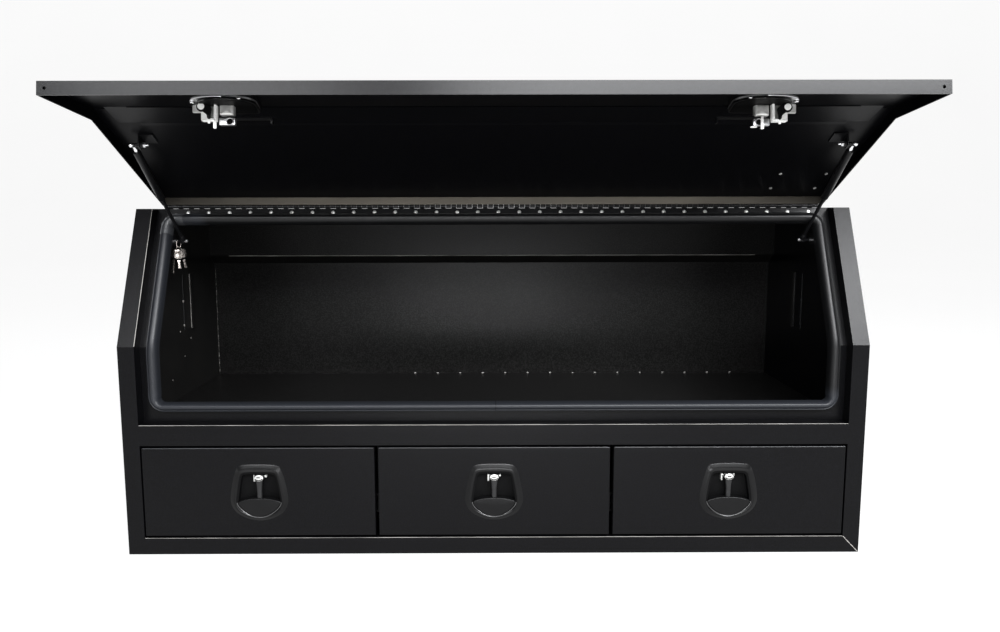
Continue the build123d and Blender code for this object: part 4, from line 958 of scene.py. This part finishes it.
class TOOLBOX_OT_seal(Operator):
    """Builds the rubber seal: a bulb with an outer ridge, carried round the folded gutter floor."""

    bl_idname = "toolbox.seal"
    bl_label = "Build the seal"

    def execute(self, context):
        path, normal = gutter_path()
        bulb = [(-12, 0), (-12, 11), (-10.5, 17.5), (-7, 22), (-2, 24.4), (3, 23.4), (6.4, 19.6), (8, 16)]
        bulb = np.array(bulb + [(9.2, 15), (10.6, 16), (11.8, 15.4), (12.4, 13), (12.4, 0)], float)
        along, out = np.concatenate([path, path[:1]]), np.concatenate([normal, normal[:1]])
        inside = bulb[:, 0] < 0.0
        slim = 1.0 - 0.4 * np.clip(-out[:, 1:], 0.0, 1.0) * inside
        rows = along[:, None] + out[:, None] * (bulb[:, 0] * slim)[..., None]
        grid = on_gutter(rows[..., 0], rows[..., 1], np.broadcast_to(bulb[:, 1], rows.shape[:2]))
        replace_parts(Surface(grid).build("seal", "rubber", "cabinet", row, 60.0), "opening_seal")
        joint = bulb * 1.012
        low = SEAL_MIDDLE - SEAL_SIZE[1] / 2 - joint[:, 0] * np.where(inside, 0.6, 1.0)
        loops = [on_gutter(np.full(len(joint), x), low, joint[:, 1]) for x in (3.4, 4.6)]
        Surface(capped(loops)).build("seal_joint", "pocket", "cabinet")
        self.tape(path, normal, bulb * 1.03)
        return {"FINISHED"}

    def tape(self, path, normal, wrap):
        """The tape over the upper left corner: the seal's section, creased by a sine of both directions."""
        past = path - TAPE_CORNER
        corner = (past[:, 0] < 0.0) & (past[:, 1] > 0.0)
        path, normal, past = path[corner], normal[corner], past[corner]
        order = np.argsort(np.arctan2(past[:, 1], -past[:, 0]))
        path, normal = path[order], normal[order]
        t = np.linspace(0.0, 1.0, len(path))[:, None]
        crease = 0.35 * np.sin(t * 31.0 + wrap[:, 0] * 0.5)
        rows = path[:, None] + normal[:, None] * (wrap[:, :1] + crease[..., None] * 0.6)
        tape = Surface(on_gutter(rows[..., 0], rows[..., 1], wrap[:, 1] + crease))
        tape.build("seal_tape", "tape", "cabinet", row, 60.0)


def gutter_path():
    """The seal's line (x, s), a rectangle with round corners, and its outward normals."""
    corners = rounded_box(*SEAL_SIZE, SEAL_CORNER, 12) + (0.0, SEAL_MIDDLE)
    points = []
    for start, end in zip(corners, np.roll(corners, -1, 0)):
        steps = max(int(np.linalg.norm(end - start) / 9.0), 1)
        points.append(start + (end - start) * np.arange(steps)[:, None] / steps)
    path = np.concatenate(points)
    ahead = np.roll(path, -1, 0) - np.roll(path, 1, 0)
    ahead /= np.linalg.norm(ahead, axis=1, keepdims=True)
    return path, np.stack([ahead[:, 1], -ahead[:, 0]], -1)


class TOOLBOX_OT_struts(Operator):
    """Builds the gas struts: painted tubes and rods, ball ends, and the studs and nuts they hang on."""

    bl_idname = "toolbox.struts"
    bl_label = "Build the struts"

    def execute(self, context):
        high, low = np.array(STRUT_HIGH), np.array(STRUT_LOW)
        length = float(np.linalg.norm(low - high))
        tube_line = [(0, 18), (6.8, 18), (8, 19.4), (8, 161.5), (7.2, 163.4), (6, 164.8), (4.3, 165)]
        tube_line.append((0, 165))
        end_line = [(0, 4.0), (3.2, 4.0), (3.2, 11.0), (3.9, 12.0), (3.9, 18.0), (0, 18.0)]
        ball = [(5.4 * math.sin(a), 5.4 * -math.cos(a)) for a in np.linspace(0.0, np.pi, 13)]
        rod_line = [(0, 150.0), (4.0, 150.0), (4.0, length - 15), (0, length - 15)]
        foot_line = [(0, -19.5), (5.4, -19.5), (6.0, -18), (6.0, -5), (0, -4)]
        foot_line = [(radius, length + along) for radius, along in foot_line]
        eye = [(0, -5.5), (6.5, -5.5), (6.9, -4.5), (6.9, 4.5), (6.5, 5.5), (0, 5.5)]
        upper = (
            ([(0, -36.5), (2.2, -36.5), (2.9, -35.5), (2.9, -6.0), (0, -6.0)], 20),
            ([(0, -31.0), (5.2, -31.0), (5.8, -30.0), (5.8, -25.0), (5.2, -24.0), (0, -24.0)], 6),
            ([(0, -23.8), (6.6, -23.8), (6.8, -22.6), (6.6, -21.4), (0, -21.4)], 28),
        )
        lower = (
            ([(0, -13.0), (2.6, -13.0), (3.8, -11.6), (3.8, -6.0), (0, -6.0)], 20),
            ([(0, 6.2), (2.4, 6.2), (2.4, 14.0), (4.6, 14.2), (4.6, 18.6), (0, 18.6)], 20),
        )
        for side, sign in SIDES:

            def bar(profile, count=28):
                """A turned bar along the strut from its upper eye: (radius, distance) pairs."""
                return self.along_strut(lathe(profile, count), sign * STRUT_X, high, (low - high) / length)

            def cross(profile, centre, count=28):
                """A turned bar along x through a point: (radius, x outwards from the stud) pairs."""
                solid = lathe(profile, count)[..., [1, 0, 2]] * (sign, 1.0, 1.0)
                return solid + (sign * STUD_X, *centre)

            tube_body, rod_body = f"strut_tube_{side}", f"strut_rod_{side}"
            painted = Surface(bar(tube_line)).build(f"strut_{side}_tube", "strut", tube_body)
            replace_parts(painted, tube_body)
            Surface(bar(end_line), cross(ball, high)).build(f"strut_{side}_end", "chrome", tube_body)
            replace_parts(Surface(bar(rod_line, 20)).build(f"strut_{side}_rod", "strut", rod_body), rod_body)
            Surface(bar(foot_line), cross(eye, low)).build(f"strut_{side}_foot", "strut", rod_body)
            studs = Surface(*(cross(profile, high, count) for profile, count in upper))
            studs.build(f"strut_{side}_upper_stud", "zinc", "lid")
            studs = Surface(*(cross(profile, low, count) for profile, count in lower))
            studs.build(f"strut_{side}_lower_stud", "zinc", "cabinet")
        return {"FINISHED"}

    def along_strut(self, solid, x, start, ahead):
        """A turned part whose axis is laid from a point along a direction in the plane of one strut."""
        along, across = solid[..., 1], solid[..., 2]
        y = start[0] + ahead[0] * along - ahead[1] * across
        z = start[1] + ahead[1] * along + ahead[0] * across
        return np.stack([x + solid[..., 0], y, z], -1)


def key_blank(head, blade, turn):
    """A flat key hanging from its hole: a rounded head, then a notched blade, turned about z and tilted."""
    steps = np.linspace(0.0, 1.0, 15)
    notch = 3.3 - 0.9 * np.abs(np.sin(steps * 17.0)) * (steps < 0.9)
    left = np.stack([-3.3 + 0.0 * steps, -head - 1.0 - blade * steps], -1)
    right = np.stack([notch, -head - 1.0 - blade * steps], -1)
    top = rounded_box(19.0, head, 5.0, 5) + (0.0, 3.0 - head / 2)
    outline = np.concatenate([left, right[::-1]])
    solid = [pillow(top, -1.2, 1.2, 0.4, 3), pillow(outline, -1.0, 1.0, 0.3, 3)]
    return [turned(turned(part, "Y", turn[1]), "Z", turn[0]) for part in solid]


class TOOLBOX_OT_keys(Operator):
    """Builds the ring and the three keys that hang on the left stud."""

    bl_idname = "toolbox.keys"
    bl_label = "Build the keys"

    def execute(self, context):
        t = np.linspace(0.0, 2 * np.pi, 40)
        round_trip = np.stack([np.sin(t), np.sin(t), np.cos(t)], -1)
        bunch = Surface(tube(round_trip * (3.2, 5.0, 10.0) + (-769.0, 164.0, 715.0), 1.1, 10))
        bunch.add(tube(round_trip * (5.0, 3.0, 6.0) + (-769.5, 163.0, 702.0), 0.9, 10))
        for spot, head, blade, turn in (
            ((-779.0, 161.0, 700.0), 22.0, 34.0, (-28.0, 10.0)),
            ((-770.0, 159.0, 698.0), 22.0, 20.0, (22.0, -4.0)),
            ((-762.0, 163.0, 699.0), 21.0, 22.0, (52.0, -12.0)),
        ):
            for part in key_blank(head, blade, turn):
                bunch.add(part + spot)
        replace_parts(bunch.build("keys_and_ring", "keys", "keys"), "key_bunch")
        return {"FINISHED"}


class TOOLBOX_OT_trim(Operator):
    """Builds the small marks: pale lines along folds and edges as painted highlights, weld spots and seams.
    """

    bl_idname = "toolbox.trim"
    bl_label = "Build the trim"

    def execute(self, context):
        dot = lathe([(0, -0.5), (1.5, -0.4), (2.2, 0.0), (2.2, 0.6), (0, 0.6)], 14)
        # A pale line along the rear channel's lower fold: a painted highlight
        fold = thread((-790.0, 559.6, 661.4), (790.0, 559.6, 661.4), 1.0, 30)
        Surface(fold).build("channel_fold", "fold", "cabinet")
        spots = Surface(*(dot + (x, 29.6, 318.0) for x in np.arange(-700.0, 701.0, 140.0)))
        for x in np.arange(-240.0, 741.0, 70.0):
            spots.add(dot * (1.5, 1.0, 0.7) + (x, BACK_FACE, 293.5))
        spots.build("weld_spots", "fold", "cabinet")
        # Pale lines along the left post's inner fold and the rails' top folds: painted highlights
        folds = Surface(thread((-811.8, 0.4, 491.0), (-811.8, 126.4, 799.0), 0.6))
        for z in (RAIL_TOP, BOTTOM_TOP):
            folds.add(thread((-POST_EDGE, 0.4, z), (POST_EDGE, 0.4, z), 0.55))
        folds.build("frame_folds", "fold", "cabinet")
        for bay in BAYS:
            low, high = box_in_mm(f"drawer_front_{bay}")
            y, z = low[1] + 0.9, high[2] - 0.9
            # A pale line along the drawer's top edge: a painted highlight
            edge = thread((low[0] + 3.0, y, z), (high[0] - 3.0, y, z), 0.75, 30)
            Surface(edge).build(f"drawer_{bay}_edge", "tape", f"drawer_{bay}")
        self.strips(dot[..., [1, 0, 2]])
        self.welds()
        return {"FINISHED"}

    def strips(self, dot):
        """The edges of the side strips as pale lines, painted highlights, with their dots, and the specks on
        the left side.
        """
        low, high = box_in_mm("side_strips")
        for side, sign in SIDES:
            x, front = sign * SIDE_FACE, low[1] - 46.0
            ends = np.array([(x, low[1], low[2] + 2.0), (x, low[1], high[2] - 2.0)])
            # Painted highlights along the strips' front edges, paler on the left, where more light falls
            edge_lines = Surface(thread(*ends, 0.6 if side == "left" else 0.3, 30))
            for z in (low[2] + 16.0, low[2] + 82.0):
                edge_lines.add(dot * (-sign * 1.7, 1.7, 1.7) + (x + sign, front, z))
            seam = Surface(thread(*(ends + (sign * 0.6, -46.0, 0.0)), 0.35, 30))
            seam.build(f"strip_seam_{side}", "tape", "cabinet")
            edge_lines.build(f"strip_edge_{side}", "fold" if side == "left" else "tape", "cabinet")
        specks = ((255, 640, 0.8), (330, 470, 1.1), (398, 441, 0.9), (352, 398, 0.8), (270, 350, 0.7))
        specks = Surface(*(dot * (-size, size, size) + (-847.8, y, z) for y, z, size in specks))
        specks.build("side_weld_specks", "fold", "cabinet")

    def welds(self):
        """The rear corner's seam and the lower corner's mitre: beads whose radius follows sines."""
        t = np.linspace(0.0, 1.0, 160)
        bead = np.clip(0.25 + 0.6 * np.sin(t * 130.0) * np.sin(t * 57.0), 0.04, 0.8)
        seam = thread((-846.8, 596.8, 300.0), (-846.8, 596.8, 618.0), bead, 160)
        Surface(seam).build("corner_seam", "fold", "cabinet")
        t = np.linspace(0.0, 1.0, 40)
        bead = 0.9 + 0.25 * np.sin(t * 60.0) + 0.2 * np.sin(t * 23.0)
        mitre = thread((812.5, 0.2, 38.5), (848.3, 0.2, 1.2), bead)
        Surface(mitre).build("corner_weld", "fold", "cabinet")


class TOOLBOX_OT_stage(Operator):
    """Sets the floor, the soft lights, the pale surroundings and the camera."""

    bl_idname = "toolbox.stage"
    bl_label = "Set the stage"

    def execute(self, context):
        self.sweep()
        power = context.scene.toolbox.key_light
        for name, place, aim, size, share, spread in SHARED_LAMPS:
            self.lamp(name, place, aim, size, power * share, spread)
        for lamp in STEADY_LAMPS:
            self.lamp(*lamp)
        context.scene.view_settings.view_transform = "Standard"
        self.surroundings()
        self.camera()
        return {"FINISHED"}

    def sweep(self):
        """The floor: flat as far as the bend's start, then up in a quarter circle behind the box."""
        wide, start, radius = 80.0, 7.0, 7.0
        bend = np.linspace(0.1, np.pi / 2, 12)
        y = np.concatenate([np.linspace(-wide, start, 12), start + radius * np.sin(bend)])
        z = np.concatenate([np.zeros(12), radius - radius * np.cos(bend)])
        x, y = np.meshgrid(np.linspace(-wide, wide, 25), y)
        grid = np.stack([x, y, np.broadcast_to(z[:, None], x.shape)], -1)
        floor = Surface().add(grid, closed=False).build("studio_floor", "floor", None, np.asarray)

    def lamp(self, name, place, aim, size, watts, spread):
        """A rectangular lamp that looks from its place to its aim."""
        light = bpy.data.lights.new(name, "AREA")
        light.color = (0.97, 0.98, 1.0)
        light.shape, light.size, light.size_y = "RECTANGLE", *size
        light.energy, light.spread = watts, spread
        lamp = bpy.data.objects.new(name, light)
        lamp.location = place
        lamp.rotation_euler = (Vector(aim) - Vector(place)).to_track_quat("-Z", "Y").to_euler()
        bpy.context.scene.collection.objects.link(lamp)

    def surroundings(self):
        """A dim world that looks pale where the camera sees it past the floor's end."""
        world = bpy.data.worlds.new("Pale surroundings")
        world.use_nodes = True
        nodes, links = world.node_tree.nodes, world.node_tree.links
        background = nodes["Background"]
        background.inputs["Color"].default_value = (1.0, 1.0, 1.0, 1.0)
        seen, pale = nodes.new("ShaderNodeLightPath"), nodes.new("ShaderNodeMapRange")
        pale.inputs["To Min"].default_value, pale.inputs["To Max"].default_value = 0.05, 0.92
        links.new(seen.outputs["Is Camera Ray"], pale.inputs["Value"])
        links.new(pale.outputs["Result"], background.inputs["Strength"])
        bpy.context.scene.world = world

    def camera(self):
        """The photograph's camera: focal length and shift from pixels, on a 36 mm sensor."""
        lens = bpy.data.cameras.new("photo_camera")
        lens.lens = LENS * 36.0 / FRAME[0]
        lens.shift_x = (FRAME[0] / 2 - CENTRE[0]) / FRAME[0]
        lens.shift_y = (CENTRE[1] - FRAME[1] / 2) / FRAME[0]
        camera = bpy.data.objects.new("photo_camera", lens)
        camera.location = CAMERA_PLACE
        pitch, yaw, roll = (math.radians(angle) for angle in CAMERA_TURN)
        camera.rotation_euler = (math.pi / 2 + pitch, roll, yaw)
        bpy.context.scene.collection.objects.link(camera)
        bpy.context.scene.camera = camera


class TOOLBOX_PT_panel(Panel):
    """Lists the steps in the order in which they are run."""

    bl_idname = "TOOLBOX_PT_panel"
    bl_label = "Toolbox"
    bl_space_type = "VIEW_3D"
    bl_region_type = "UI"
    bl_category = "Toolbox"

    def draw(self, context):
        for name in ("coat_colour", "moulding_colour", "seal_colour", "rim_height", "key_light"):
            self.layout.prop(context.scene.toolbox, name)
        for step in STEPS:
            self.layout.operator(step.bl_idname)


STEPS = (
    TOOLBOX_OT_coat,
    TOOLBOX_OT_dishes,
    TOOLBOX_OT_pulls,
    TOOLBOX_OT_lock_works,
    TOOLBOX_OT_hinge,
    TOOLBOX_OT_seal,
    TOOLBOX_OT_struts,
    TOOLBOX_OT_keys,
    TOOLBOX_OT_trim,
    TOOLBOX_OT_stage,
)
CLASSES = (ToolboxSettings, *STEPS, TOOLBOX_PT_panel)


def register():
    """Registers the classes and hangs the settings on the scene."""
    for cls in CLASSES:
        bpy.utils.register_class(cls)
    bpy.types.Scene.toolbox = PointerProperty(type=ToolboxSettings)


def unregister():
    """Takes the settings and classes away again."""
    del bpy.types.Scene.toolbox
    for cls in reversed(CLASSES):
        bpy.utils.unregister_class(cls)


def main():
    """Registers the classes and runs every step."""
    register()
    for step in STEPS:
        group, name = step.bl_idname.split(".")
        getattr(getattr(bpy.ops, group), name)()


if __name__ == "__main__":
    main()
